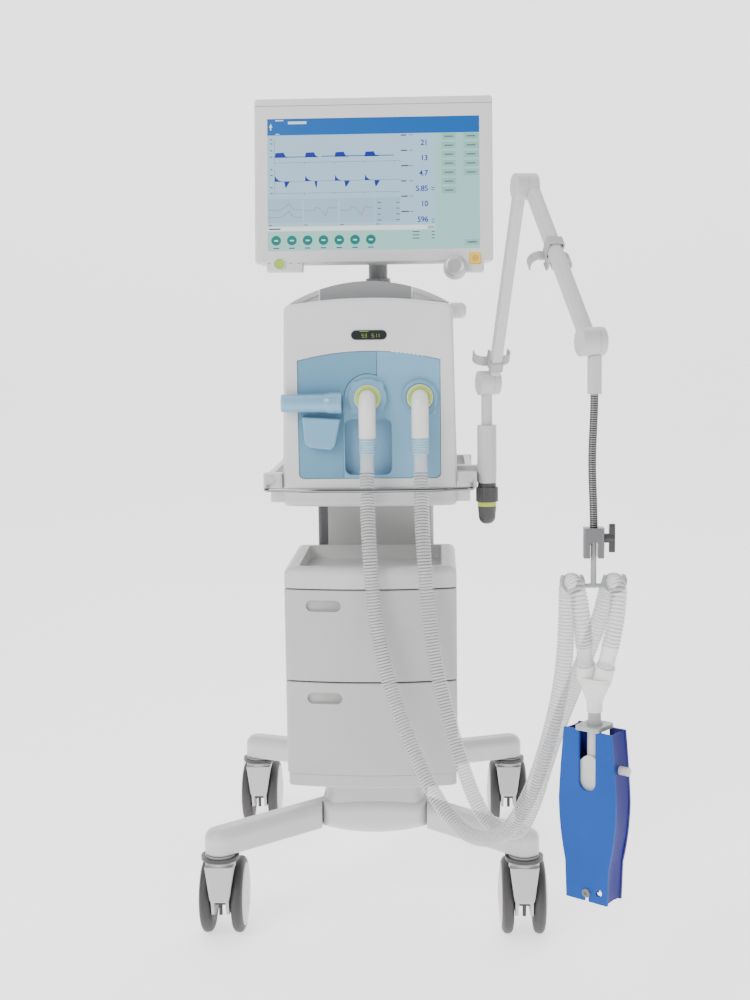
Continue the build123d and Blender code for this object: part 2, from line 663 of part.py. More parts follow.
EXHAUST_R = 14.5
EXHAUST_Y = FIXED_Y - 17.5
EXHAUST_Z = 873.0
with BuildPart() as exhaust_port:
    with BuildSketch(Plane(origin=(0, EXHAUST_Y, EXHAUST_Z), x_dir=(1, 0, 0), z_dir=(0, -1, 0))):
        with BuildLine():
            Polyline((-143, 11.5), (-143, EXHAUST_R), (-72, EXHAUST_R + 1), (-64, 17.5), (-44, 17.5),
                     (-44, 0), (-60, 0), (-66, 11.5), close=True)
        make_face()
    revolve(axis=Axis((0, EXHAUST_Y, EXHAUST_Z), (1, 0, 0)))
keep(exhaust_port.part, "exhaust_port")

with BuildPart() as water_trap:
    with BuildSketch(front_plane(FIXED_Y)):
        with BuildLine():
            Polyline((-110, 850), (-106, 806), (-98, 799), (-62, 795), (-56, 801), (-46, 846), close=True)
        make_face()
    extrude(amount=18)
    fillet(water_trap.edges().group_by(Axis.Y)[0], 4)
    with BuildSketch(front_plane(FIXED_Y - 2)):
        with BuildLine():
            Polyline((-107.5, 853), (-103.5, 808), (-96, 802), (-64, 798), (-58.5, 803), (-48.5, 853),
                     close=True)
        make_face()
    extrude(amount=13.5, mode=Mode.SUBTRACT)
keep(water_trap.part, "water_trap")

with BuildPart() as valve_ring_left:
    with BuildSketch(front_plane(FIXED_Y - MOVING_GAP)):
        with Locations((PORT_L_X, PORT_Z)):
            Circle(COLLAR_R)
            with PolarLocations(COLLAR_R, 4, start_angle=45):
                SlotOverall(12, 7, rotation=90)
            Circle(22, mode=Mode.SUBTRACT)
    extrude(amount=10)
keep(valve_ring_left.part, "valve_lock_ring")

with BuildPart() as port_collar_right:
    with BuildSketch(front_plane(FIXED_Y)):
        with Locations((PORT_R_X, PORT_Z)):
            Circle(COLLAR_R - 1.5)
        with Locations((PORT_R_X + 8, PORT_Z - 14)):
            RectangleRounded(36, 32, 9)
        with Locations((PORT_R_X, PORT_Z)):
            Circle(22, mode=Mode.SUBTRACT)
    extrude(amount=9)
    fillet(port_collar_right.edges().group_by(Axis.Y)[0], 2.5)
keep(port_collar_right.part, "port_collar_right")

# White elbows with their lime index rings, each ending in the cuff of its hose.
with BuildPart() as port_elbows:
    for port_x in (PORT_L_X, PORT_R_X):
        elbow_y = FIXED_Y - ELBOW_REACH - 2
        with BuildLine() as elbow_path:
            FilletPolyline((port_x, FIXED_Y, PORT_Z), (port_x, elbow_y, PORT_Z),
                           (port_x, elbow_y, HOSE_LEFT[0][2]), radius=16)
        with BuildSketch(Plane(origin=(port_x, FIXED_Y, PORT_Z), z_dir=(0, -1, 0))):
            Circle(ELBOW_R)
        sweep(path=elbow_path.line)
        with BuildSketch(front_plane(FIXED_Y)):
            with Locations((port_x, PORT_Z)):
                Circle(22 - MOVING_GAP)
        extrude(amount=12)
keep(port_elbows.part, "port_elbows")

with BuildPart() as status_display:
    with BuildSketch(front_plane(UNIT_FRONT)):
        with Locations((1.3, 982.5)):
            SlotOverall(59, 16)
    extrude(amount=2)
    fillet(status_display.edges().group_by(Axis.Y)[0], 1)
keep(status_display.part, "status_display")

with BuildPart() as gas_module:
    with BuildSketch(level(UNIT_Z + UNIT_WALL + GAP)):
        with Locations((0, UNIT_FRONT + 60 + 130)):
            RectangleRounded(240, 260, 8)
    extrude(amount=130)
    with BuildSketch(level(UNIT_Z + UNIT_WALL + GAP + 129)):
        with Locations((-50, UNIT_FRONT + 150)):
            Circle(55)
    extrude(amount=60)
keep(gas_module.part, "gas_mixer_and_blower")

# Rear cover with two gas inlets, the mains inlet and the fan slots.
GAS_INLET_R = 9.0
with BuildPart() as rear_panel:
    with BuildSketch(front_plane(UNIT_BACK - 0.5)):
        add(case_outline(UNIT_WALL + MOVING_GAP))
        with Locations((60, 960)):
            with GridLocations(8, 1, 9, 1):
                SlotOverall(46, 4, rotation=90, mode=Mode.SUBTRACT)
    extrude(amount=3)
    with BuildSketch(front_plane(UNIT_BACK - 1)):
        with Locations((-70, 780), (-25, 780)):
            Circle(GAS_INLET_R)
    extrude(amount=-25)
    with BuildSketch(front_plane(UNIT_BACK - 1)):
        with Locations((70, 780)):
            RectangleRounded(50, 30, 3)
    extrude(amount=-6)
    with BuildSketch(front_plane(UNIT_BACK + 6)):
        with Locations((70, 780)):
            RectangleRounded(28, 20, 2)
    extrude(amount=6, mode=Mode.SUBTRACT)
keep(rear_panel.part, "rear_panel")

# Carry handle: an arch over the case, recessed a little at both shoulders, with the
# foot of the display's neck standing on it.
NECK_FOOT_H = 9.0
HAND_RECESS = 3.0
with BuildPart() as carry_handle:
    with BuildSketch(front_plane(HANDLE_Y0)):
        with BuildLine():
            ThreePointArc((-HANDLE_X, UNIT_SHOULDER + 2), (0, HANDLE_TOP), (HANDLE_X, UNIT_SHOULDER + 2))
            ThreePointArc((HANDLE_X, UNIT_SHOULDER + 2), (0, UNIT_CROWN + 0.2),
                          (-HANDLE_X, UNIT_SHOULDER + 2))
        make_face()
    extrude(amount=HANDLE_Y0 - HANDLE_Y1)
    for near, far in ((HANDLE_CORE_X0, -118), (HANDLE_CORE_X1, 118)):
        with BuildSketch(front_plane(HANDLE_Y0 - 1)):
            with BuildLine():
                ThreePointArc((-HANDLE_X, UNIT_SHOULDER - 7), (0, HANDLE_TOP - 8),
                              (HANDLE_X, UNIT_SHOULDER - 7))
                Line((HANDLE_X, UNIT_SHOULDER - 7), (-HANDLE_X, UNIT_SHOULDER - 7))
            make_face()
            with Locations(((near + far) / 2, HANDLE_TOP - 30)):
                Rectangle(abs(far - near), 80, mode=Mode.INTERSECT)
        extrude(amount=-1 - HAND_RECESS, mode=Mode.SUBTRACT)
    with BuildSketch(level(UNIT_CROWN + 6)):
        with Locations((NECK_POST_X, NECK_POST_Y)):
            Circle(NECK_POST_R + 5)
    extrude(amount=HANDLE_TOP + NECK_FOOT_H - UNIT_CROWN - 6)
    with BuildSketch(level(HANDLE_TOP - 6)):
        with Locations((NECK_POST_X, NECK_POST_Y)):
            Circle(7 + RUNNING_FIT)
    extrude(amount=NECK_FOOT_H + 6, mode=Mode.SUBTRACT)
keep(carry_handle.part, "carry_handle")

# ================================================================ display
TILT_COS = cos(radians(TILT))
TILT_SIN = sin(radians(TILT))
SCREEN_PLANE = Plane(origin=(SCREEN_X, SCREEN_Y, SCREEN_Z), x_dir=(1, 0, 0), z_dir=(0, -TILT_COS, TILT_SIN))
BEZEL_W = SCREEN_W + 2 * BEZEL_SIDE
BEZEL_H = SCREEN_H + BEZEL_TOP + BEZEL_BOTTOM
BEZEL_MID = (BEZEL_TOP - BEZEL_BOTTOM) / 2
BUTTON_TRAVEL = 1.5
ALARM_AT = (174.5, -131.5)
ALARM_SIDE = 19.0
POWER_AT = (-163.0, -137.0)
POWER_R = 8.0
with BuildPart() as monitor_bezel:
    with BuildSketch(SCREEN_PLANE):
        with Locations((0, BEZEL_MID)):
            RectangleRounded(BEZEL_W, BEZEL_H, 5)
        with Locations((KNOB_U, KNOB_V)):
            Circle(KNOB_R + 2)
        with Locations((ALARM_AT[0] - 4, ALARM_AT[1] - 2)):
            RectangleRounded(38, 42, 4)
        with Locations((POWER_AT[0] + 9, POWER_AT[1] - 2)):
            RectangleRounded(64, 22, 3)
        with Locations(POWER_AT):
            Circle(POWER_R + 3.5)
    extrude(amount=-BEZEL_T)
    fillet(monitor_bezel.faces().sort_by(Axis(SCREEN_PLANE.origin, SCREEN_PLANE.z_dir))[-1].edges(), 3)
    with BuildSketch(SCREEN_PLANE):
        Rectangle(SCREEN_W, SCREEN_H)
    extrude(amount=-4, mode=Mode.SUBTRACT)
    with BuildSketch(SCREEN_PLANE):
        with Locations(ALARM_AT):
            RectangleRounded(ALARM_SIDE + 2 * MOVING_GAP, ALARM_SIDE + 2 * MOVING_GAP, 3)
        with Locations(POWER_AT):
            Circle(POWER_R + MOVING_GAP)
        with Locations((KNOB_U, KNOB_V)):
            Circle(4 + RUNNING_FIT)
    extrude(amount=-7, mode=Mode.SUBTRACT)
keep(monitor_bezel.part, "monitor_bezel")

with BuildPart() as screen:
    with BuildSketch(SCREEN_PLANE.offset(-3.8)):
        Rectangle(SCREEN_W - 2 * MOVING_GAP, SCREEN_H - 2 * MOVING_GAP)
    extrude(amount=3)
keep(screen.part, "screen")

NECK_AXIS_Z = SCREEN_Z
with BuildPart() as monitor_shell:
    with BuildSketch(SCREEN_PLANE.offset(-BEZEL_T)):
        with Locations((0, BEZEL_MID)):
            RectangleRounded(BEZEL_W - 6, BEZEL_H - 6, 8)
    extrude(amount=-(MONITOR_D - BEZEL_T))
    fillet(monitor_shell.faces().sort_by(Axis.Y)[-1].edges(), 12)
    with BuildSketch(SCREEN_PLANE.offset(-BEZEL_T)):
        with Locations((0, BEZEL_MID)):
            RectangleRounded(BEZEL_W - 12, BEZEL_H - 12, 6)
    extrude(amount=-(MONITOR_D - BEZEL_T - 5), mode=Mode.SUBTRACT)
    for ear_x in (-34.0, 28.5):
        with BuildSketch(side_plane(NECK_POST_X + ear_x)):
            with BuildLine():
                Polyline((NECK_POST_Y - 35, NECK_AXIS_Z - 22), (NECK_POST_Y, NECK_AXIS_Z - 13),
                         (NECK_POST_Y, NECK_AXIS_Z + 13), (NECK_POST_Y - 35, NECK_AXIS_Z + 22), close=True)
            make_face()
            with Locations((NECK_POST_Y, NECK_AXIS_Z)):
                Circle(13)
                Circle(5 + RUNNING_FIT, mode=Mode.SUBTRACT)
        extrude(amount=5.5)
keep(monitor_shell.part, "monitor_shell")

with BuildPart() as monitor_knob:
    with BuildSketch(SCREEN_PLANE.offset(MOVING_GAP)):
        with Locations((KNOB_U, KNOB_V)):
            Circle(KNOB_R)
    extrude(amount=15)
    fillet(monitor_knob.edges().filter_by(GeomType.CIRCLE).group_by(Axis.Y)[0], 2.5)
    with BuildSketch(SCREEN_PLANE.offset(-6)):
        with Locations((KNOB_U, KNOB_V)):
            Circle(4)
    extrude(amount=8)
keep(monitor_knob.part, "monitor_knob")

with BuildPart() as alarm_button:
    with BuildSketch(SCREEN_PLANE.offset(-5)):
        with Locations(ALARM_AT):
            RectangleRounded(ALARM_SIDE, ALARM_SIDE, 2.5)
    extrude(amount=6.8)
keep(alarm_button.part, "alarm_button")

with BuildPart() as power_button:
    with BuildSketch(SCREEN_PLANE.offset(-5)):
        with Locations(POWER_AT):
            Circle(POWER_R)
    extrude(amount=6.5)
keep(power_button.part, "power_button")

with BuildPart() as monitor_neck:
    with BuildSketch(level(HANDLE_TOP + NECK_FOOT_H + MOVING_GAP)):
        with Locations((NECK_POST_X, NECK_POST_Y)):
            Circle(NECK_POST_R)
    extrude(amount=NECK_AXIS_Z - 10 - HANDLE_TOP - NECK_FOOT_H)
    with BuildSketch(level(HANDLE_TOP - 5)):
        with Locations((NECK_POST_X, NECK_POST_Y)):
            Circle(7)
    extrude(amount=NECK_FOOT_H + 8)
    with BuildSketch(side_plane(NECK_POST_X - 28)):
        with Locations((NECK_POST_Y, NECK_AXIS_Z)):
            Circle(15)
    extrude(amount=56)
    with BuildSketch(side_plane(NECK_POST_X - 36)):
        with Locations((NECK_POST_Y, NECK_AXIS_Z)):
            Circle(5)
    extrude(amount=72)
keep(monitor_neck.part, "monitor_neck")

# ================================================================ hose support arm
REACH = Vector(sin(radians(ARM_AZIMUTH)), -cos(radians(ARM_AZIMUTH)), 0)
UP = Vector(0, 0, 1)
ACROSS = REACH.cross(UP)          # knuckle axis, towards the left of the arm


def arm_point(start, angle, length):
    """Point at a distance from start, in the arm's upright plane."""
    return start + REACH * (length * cos(radians(angle))) + UP * (length * sin(radians(angle)))


POST = Vector(POST_X, POST_Y, KNUCKLE_Z)
LOWER_KNUCKLE = POST - ACROSS * KNUCKLE_OFFSET
UPPER_KNUCKLE = arm_point(LOWER_KNUCKLE, LOWER_ANGLE, LINK)
END_KNUCKLE = arm_point(UPPER_KNUCKLE, UPPER_ANGLE, LINK)


def knuckle_plane(centre, across):
    """Plane across a knuckle, at a distance along its axis."""
    return Plane(origin=centre + ACROSS * across, x_dir=REACH, z_dir=ACROSS)


def half_barrel(centre, low, high, pin_low=None, pin_high=None):
    """Half of a knuckle, with either its pin or the bore for the other half's pin."""
    with BuildPart() as barrel:
        with BuildSketch(knuckle_plane(centre, low)):
            Circle(KNUCKLE_R)
        extrude(amount=high - low)
        outer = knuckle_plane(centre, high if abs(high) > abs(low) else low).origin
        fillet(barrel.edges().filter_by(GeomType.CIRCLE).sort_by_distance(outer)[0], 1.5)
        if pin_low is not None:
            with BuildSketch(knuckle_plane(centre, pin_low)):
                Circle(6)
            extrude(amount=pin_high - pin_low)
    return barrel.part


SPLIT_LOWER = -6.5        # where each knuckle is parted, along its axis
SPLIT_UPPER = -1.0
SPLIT_END = -7.6
LOWER_TUBE_0 = -8.2       # the lower arm's ends, along the knuckle axes
LOWER_TUBE_1 = 8.0
UPPER_TUBE_0 = -9.5
UPPER_TUBE_1 = 3.0
LOWER_TUBE = (16.5, 19.0, 3.0)    # across, deep, corner radius of each arm's tube
UPPER_TUBE = (20.0, 24.0, 8.0)


with BuildPart() as arm_clamp:
    with BuildSketch(level(SLEEVE_Z0 - 13)):
        with Locations((POST_X, POST_Y)):
            Circle(SLEEVE_R - 0.6)
    extrude(amount=13)
    with BuildSketch(level(SLEEVE_Z0)):
        with Locations((POST_X, POST_Y)):
            Circle(SLEEVE_R)
    extrude(amount=SLEEVE_Z1 - SLEEVE_Z0)
    fillet(arm_clamp.edges().group_by(Axis.Z)[-1], 1.5)
    jaw_x = RAIL_X + RAIL_T + 0.2
    with BuildSketch(level(SLEEVE_Z0 - 13)):
        with Locations(((jaw_x + POST_X) / 2, POST_Y + 16)):
            Rectangle(POST_X - jaw_x, 20)
    extrude(amount=RAIL_Z + RAIL_H + 8 - SLEEVE_Z0 + 13)
    with BuildSketch(level(RAIL_Z + RAIL_H + 0.2)):
        with Locations((RAIL_X - 1, POST_Y + 16)):
            Rectangle(2 * RAIL_T + 8, 20)
    extrude(amount=7.8)
    with BuildSketch(level(SLEEVE_Z0 + 10)):
        with Locations((POST_X, POST_Y)):
            Circle(POST_R + RUNNING_FIT)
    extrude(amount=SLEEVE_Z1, mode=Mode.SUBTRACT)
    with BuildSketch(level(RAIL_Z - 20)):
        with Locations((POST_X, POST_Y)):
            Circle(6 + RUNNING_FIT)
    extrude(amount=SLEEVE_Z0 + 2 - RAIL_Z + 20, mode=Mode.SUBTRACT)
keep(arm_clamp.part, "arm_clamp")

KNOB_TOP = SLEEVE_Z0 - 13 - MOVING_GAP
with BuildPart() as release_knob:
    with BuildSketch(level(KNOB_TOP - 31)):
        with Locations((POST_X, POST_Y)):
            Circle(18.5)
            with PolarLocations(19.5, 18):
                Circle(1.6, mode=Mode.SUBTRACT)
    extrude(amount=24)
    with BuildSketch(Plane(origin=(POST_X, POST_Y, 0), x_dir=(1, 0, 0), z_dir=(0, -1, 0))):
        with BuildLine():
            Polyline((0, KNOB_TOP), (15, KNOB_TOP), (15.5, KNOB_TOP - 8), (15.5, KNOB_TOP - 40),
                     (14, KNOB_TOP - 56))
            ThreePointArc((14, KNOB_TOP - 56), (11.5, KNOB_TOP - 64), (5, KNOB_TOP - 68.5))
            Line((5, KNOB_TOP - 68.5), (0, KNOB_TOP - 68.5))
            Line((0, KNOB_TOP - 68.5), (0, KNOB_TOP))
        make_face()
    revolve(axis=Axis((POST_X, POST_Y, 0), (0, 0, 1)))
    with BuildSketch(level(KNOB_TOP - 2)):
        with Locations((POST_X, POST_Y)):
            Circle(6)
    extrude(amount=14)
keep(release_knob.part, "release_knob")

with BuildPart() as arm_post:
    add(half_barrel(LOWER_KNUCKLE, SPLIT_LOWER + MOVING_GAP, KNUCKLE_HALF, SPLIT_LOWER - 8, SPLIT_LOWER + 1))
    with BuildSketch(level(SLEEVE_Z0 + 12)):
        with Locations((POST_X, POST_Y)):
            Circle(POST_R)
    extrude(amount=KNUCKLE_Z - SLEEVE_Z0 - 12)
keep(arm_post.part, "arm_post")


def arm_tube(start, end, section):
    """Tube from start to end: width along the knuckle axis, depth in the arm's plane."""
    width, depth, corner = section
    run = end - start
    with BuildPart() as tube:
        with BuildSketch(Plane(origin=start, x_dir=ACROSS, z_dir=run)):
            RectangleRounded(width, depth, corner)
        extrude(amount=run.length)
    return tube.part


def without_barrel(tube, centre, across_low, across_high, radius):
    """Clear a tube out of the way of the other half of a knuckle."""
    with BuildPart() as cleared:
        add(tube)
        with BuildSketch(knuckle_plane(centre, across_low)):
            Circle(radius)
        extrude(amount=across_high - across_low, mode=Mode.SUBTRACT)
    return cleared.part


LOWER_RUN = (LOWER_KNUCKLE + ACROSS * LOWER_TUBE_0, UPPER_KNUCKLE + ACROSS * LOWER_TUBE_1)
UPPER_RUN = (UPPER_KNUCKLE + ACROSS * UPPER_TUBE_0, END_KNUCKLE + ACROSS * UPPER_TUBE_1)
lower_tube = arm_tube(*LOWER_RUN, LOWER_TUBE)
lower_tube = without_barrel(lower_tube, LOWER_KNUCKLE, SPLIT_LOWER, 30, KNUCKLE_R + 1)
lower_tube = without_barrel(lower_tube, UPPER_KNUCKLE, -30, SPLIT_UPPER + MOVING_GAP, KNUCKLE_R + 1)
with BuildPart() as lower_arm:
    add(lower_tube)
    add(half_barrel(LOWER_KNUCKLE, -KNUCKLE_HALF, SPLIT_LOWER))
    with BuildSketch(knuckle_plane(LOWER_KNUCKLE, SPLIT_LOWER - 8 - GAP)):
        Circle(6 + RUNNING_FIT)
    extrude(amount=20, mode=Mode.SUBTRACT)
    add(half_barrel(UPPER_KNUCKLE, SPLIT_UPPER + MOVING_GAP, KNUCKLE_HALF, SPLIT_UPPER - 10, SPLIT_UPPER + 1))
keep(lower_arm.part, "lower_arm")

upper_tube = arm_tube(*UPPER_RUN, UPPER_TUBE)
upper_tube = without_barrel(upper_tube, UPPER_KNUCKLE, SPLIT_UPPER, 30, KNUCKLE_R + 1)
upper_tube = without_barrel(upper_tube, END_KNUCKLE, -30, SPLIT_END + MOVING_GAP, KNUCKLE_R + 1)
with BuildPart() as upper_arm:
    add(upper_tube)
    add(half_barrel(UPPER_KNUCKLE, -KNUCKLE_HALF, SPLIT_UPPER))
    with BuildSketch(knuckle_plane(UPPER_KNUCKLE, SPLIT_UPPER - 10 - GAP)):
        Circle(6 + RUNNING_FIT)
    extrude(amount=20, mode=Mode.SUBTRACT)
    add(half_barrel(END_KNUCKLE, SPLIT_END + MOVING_GAP, KNUCKLE_HALF, SPLIT_END - 7, SPLIT_END + 1))
keep(upper_arm.part, "upper_arm")

END_X = END_KNUCKLE.X - ACROSS.X * 5
END_Y = END_KNUCKLE.Y
END_BOTTOM = END_KNUCKLE.Z - 71
with BuildPart() as end_link:
    with BuildSketch(Plane(origin=(END_X, END_Y, END_BOTTOM), x_dir=REACH.cross(UP), z_dir=(0, 0, 1))):
        RectangleRounded(16, 17, 3)
    extrude(amount=71)
    with BuildSketch(knuckle_plane(END_KNUCKLE, SPLIT_END)):
        Circle(KNUCKLE_R + 1)
    extrude(amount=30, mode=Mode.SUBTRACT)
    add(half_barrel(END_KNUCKLE, -KNUCKLE_HALF, SPLIT_END))
    with BuildSketch(knuckle_plane(END_KNUCKLE, SPLIT_END - 7 - GAP)):
        Circle(6 + RUNNING_FIT)
    extrude(amount=10, mode=Mode.SUBTRACT)
keep(end_link.part, "end_link")

GOOSE_BOTTOM = END_BOTTOM - GOOSE_L
with BuildPart() as gooseneck:
    with BuildLine():
        Spline((END_X, END_Y, END_BOTTOM), (END_X - 2.5, END_Y, END_BOTTOM - GOOSE_L / 2),
               (END_X, END_Y, GOOSE_BOTTOM), tangents=((0, 0, -1), (0, 0, -1)))
    with BuildSketch(Plane(origin=(END_X, END_Y, END_BOTTOM), z_dir=(0, 0, -1))):
        Circle(GOOSE_R)
    sweep()
keep(gooseneck.part, "gooseneck")

FORK_H = 42.0
FORK_W = 28.0
FORK_D = 20.0
ROD_R = 4.0
WING_Z = GOOSE_BOTTOM - 15
with BuildPart() as fork_clamp:
    with BuildSketch(level(GOOSE_BOTTOM - FORK_H)):
        with Locations((END_X, END_Y)):
            RectangleRounded(FORK_W, FORK_D, 3)
    extrude(amount=FORK_H)
    with BuildSketch(front_plane(END_Y - FORK_D)):
        with Locations((END_X, GOOSE_BOTTOM - FORK_H + 8)):
            SlotOverall(30, 11, rotation=90)
    extrude(amount=-2 * FORK_D, mode=Mode.SUBTRACT)
    with BuildSketch(level(GOOSE_BOTTOM - FORK_H - 1)):
        with Locations((END_X, END_Y)):
            Circle(ROD_R + RUNNING_FIT)
    extrude(amount=FORK_H - 6, mode=Mode.SUBTRACT)
    with BuildSketch(side_plane(END_X + FORK_W / 2 - 9)):
        with Locations((END_Y, WING_Z)):
            Circle(2.5 + RUNNING_FIT)
    extrude(amount=20, mode=Mode.SUBTRACT)
keep(fork_clamp.part, "fork_clamp")

with BuildPart() as wing_screw:
    with BuildSketch(side_plane(END_X + FORK_W / 2 - 8)):
        with Locations((END_Y, WING_Z)):
            Circle(2.5)
    extrude(amount=12)
    with BuildSketch(side_plane(END_X + FORK_W / 2 + MOVING_GAP)):
        with Locations((END_Y, WING_Z)):
            Circle(6.5)
    extrude(amount=14)
    with BuildSketch(side_plane(END_X + FORK_W / 2 + 7)):
        with Locations((END_Y, WING_Z)):
            SlotOverall(40, 9, rotation=90)
    extrude(amount=8)
keep(wing_screw.part, "wing_screw")


def hose_clip(centre, along, opening, inner, thickness, width, arc):
    """Spring clip bent round a hose: a C section, open towards opening."""
    plane = Plane(origin=centre, x_dir=opening, z_dir=along)
    half = radians(arc / 2)
    with BuildPart() as clip:
        with BuildSketch(plane.offset(-width / 2)):
            Circle(inner + thickness)
            Circle(inner, mode=Mode.SUBTRACT)
            with BuildLine():
                reach = 2 * inner
                Polyline((0, 0), (reach * cos(half), reach * sin(half)), (2 * reach, 0),
                         (reach * cos(half), -reach * sin(half)), close=True)
            make_face(mode=Mode.SUBTRACT)
        extrude(amount=width)
    return clip.part


BAR_Z_T = CLIP_Z - 6
CLIP_R = HOSE_D / 2 + 1.5
with BuildPart() as hanger:
    with BuildSketch(level(BAR_Z_T)):
        with Locations((END_X, END_Y)):
            Circle(ROD_R)
    extrude(amount=GOOSE_BOTTOM - 7.5 - BAR_Z_T)
    with BuildSketch(side_plane(END_X - CLIP_SPAN / 2 + CLIP_R + 1)):
        with Locations((END_Y, BAR_Z_T)):
            Circle(3.2)
    extrude(amount=CLIP_SPAN - 2 * CLIP_R - 2)
    for hand in (-1, 1):
        centre = Vector(END_X + hand * CLIP_SPAN / 2, END_Y, CLIP_Z)
        add(hose_clip(centre, CLIP_ALONG, (0, 0, 1), CLIP_R, 2.4, 12, 110))
keep(hanger.part, "hanger")


def arm_clips(start, end, share, side, spread, lift, sleeve):
    """Pair of hose clips on a strap round an arm tube."""
    run = (end - start)
    at = start + run * share
    direction = run.normalized()
    outward = direction.cross(ACROSS) * side
    with BuildPart() as clips:
        for hand in (-1, 1):
            centre = at + ACROSS * (hand * spread) + outward * lift
            add(hose_clip(centre, direction, outward, 13, 2.4, 16, 120))
        with BuildSketch(Plane(origin=at - direction * 8, x_dir=ACROSS, z_dir=direction)):
            RectangleRounded(sleeve[0] + 5, sleeve[1] + 5, 4)
            RectangleRounded(sleeve[0] + 0.6, sleeve[1] + 0.6, 2, mode=Mode.SUBTRACT)
        extrude(amount=16)
        with BuildSketch(Plane(origin=at + outward * (sleeve[1] / 2 + 0.4) - direction * 8, x_dir=ACROSS,
                               z_dir=direction)):
            with Locations((0, side * 2.2)):
                RectangleRounded(2 * spread + 6, 4.4, 1.5)
        extrude(amount=16)
    return clips.part


keep(arm_clips(*LOWER_RUN, 0.1, -1, 16.5, 26.0, LOWER_TUBE), "lower_arm_clips")
keep(arm_clips(*UPPER_RUN, 0.42, 1, 17.5, 28.0, UPPER_TUBE), "upper_arm_clips")

# ================================================================ breathing hoses
def hose(points, label):
    """Hose as straight runs joined by tangent arcs."""
    route = [Vector(*point) for point in points]
    runs = [(b - a).length for a, b in zip(route, route[1:])]
    turns = [(b - a).get_angle(c - b) for a, b, c in zip(route, route[1:], route[2:])]
    radii = [0.45 * min(runs[i], runs[i + 1]) / tan(radians(turns[i] / 2)) for i in range(len(turns))]
    with BuildPart() as tube:
        with BuildLine() as line:
            FilletPolyline(*route, radius=radii)
        with BuildSketch(Plane(origin=route[0], z_dir=route[1] - route[0])):
            Circle(HOSE_D / 2)
        sweep()
    section = HOSE_D ** 2 * pi / 4
    length = sum(edge.length for edge in line.edges())
    print(label, "length", round(length, 1), "volume ratio", round(tube.part.volume / section / length, 4))
    print(label, "radii", [round(radius, 1) for radius in radii])
    keep(tube.part, label)


hose(HOSE_LEFT, "hose_left")
hose(HOSE_RIGHT, "hose_right")

# Y-piece joining both hoses to the test lung.
YAW = radians(LUNG_YAW)
LUNG_SIDE = Vector(cos(YAW), sin(YAW), 0)
LUNG_FACE = Vector(sin(YAW), -cos(YAW), 0)
LUNG_PLANE = Plane(origin=(LUNG_X, LUNG_Y, 0), x_dir=LUNG_SIDE, z_dir=(0, 0, 1))
INLET_R = HOSE_D / 2 + 1
BAG_HALF_T = 13.0
STUB_Z = LUNG_TOP - 52
with BuildPart() as y_piece:
    with BuildSketch(LUNG_PLANE.offset(Y_BOTTOM)):
        Circle(11)
    with BuildSketch(LUNG_PLANE.offset(Y_BOTTOM + 26)):
        SlotOverall(46, 26)
    loft(ruled=True)
    with BuildSketch(LUNG_PLANE.offset(Y_BOTTOM + 25)):
        SlotOverall(46, 26)
    extrude(amount=8)
    for route in (HOSE_LEFT, HOSE_RIGHT):
        mouth = Vector(*route[-1])
        inward = (mouth - Vector(*route[-2])).normalized()
        with BuildSketch(Plane(origin=mouth, z_dir=inward)):
            Circle(INLET_R)
        extrude(amount=22)
    with BuildSketch(LUNG_PLANE.offset(Y_BOTTOM - 14)):
        Circle(11)
    extrude(amount=14)
keep(y_piece.part, "y_piece")

# The lung's bag, with its neck let into a rigid collar whose plate rests on both side plates.
COLLAR_TOP = Y_BOTTOM - 14.2
with BuildPart() as lung_bag:
    with BuildSketch(Plane(origin=(LUNG_X, LUNG_Y, 0), x_dir=LUNG_SIDE, z_dir=LUNG_FACE)):
        with BuildLine():
            Polyline((0, COLLAR_TOP), (9, COLLAR_TOP), (9, LUNG_TOP + 12), (11, LUNG_TOP + 10),
                     (11, LUNG_TOP + 1), (0, LUNG_TOP + 1), close=True)
        make_face()
    revolve(axis=Axis((LUNG_X, LUNG_Y, 0), (0, 0, 1)))
    with BuildSketch(LUNG_PLANE.offset(LUNG_TOP + 0.2)):
        RectangleRounded(38, 44, 5)
    extrude(amount=6)
    with BuildSketch(LUNG_PLANE.offset(LUNG_TOP - 40)):
        Circle(10)
    extrude(amount=42)
    bag_back = Vector(LUNG_X, LUNG_Y, 0) - LUNG_FACE * BAG_HALF_T
    with BuildSketch(Plane(origin=bag_back, x_dir=LUNG_SIDE, z_dir=LUNG_FACE)):
        with Locations((0, LUNG_TOP - 128)):
            Ellipse(34, 92)
    extrude(amount=2 * BAG_HALF_T)
    with BuildSketch(Plane(origin=Vector(LUNG_X, LUNG_Y, STUB_Z), z_dir=LUNG_SIDE)):
        Circle(6)
    extrude(amount=LUNG_WAIST_W / 2 + 9)
keep(lung_bag.part, "lung_bag")


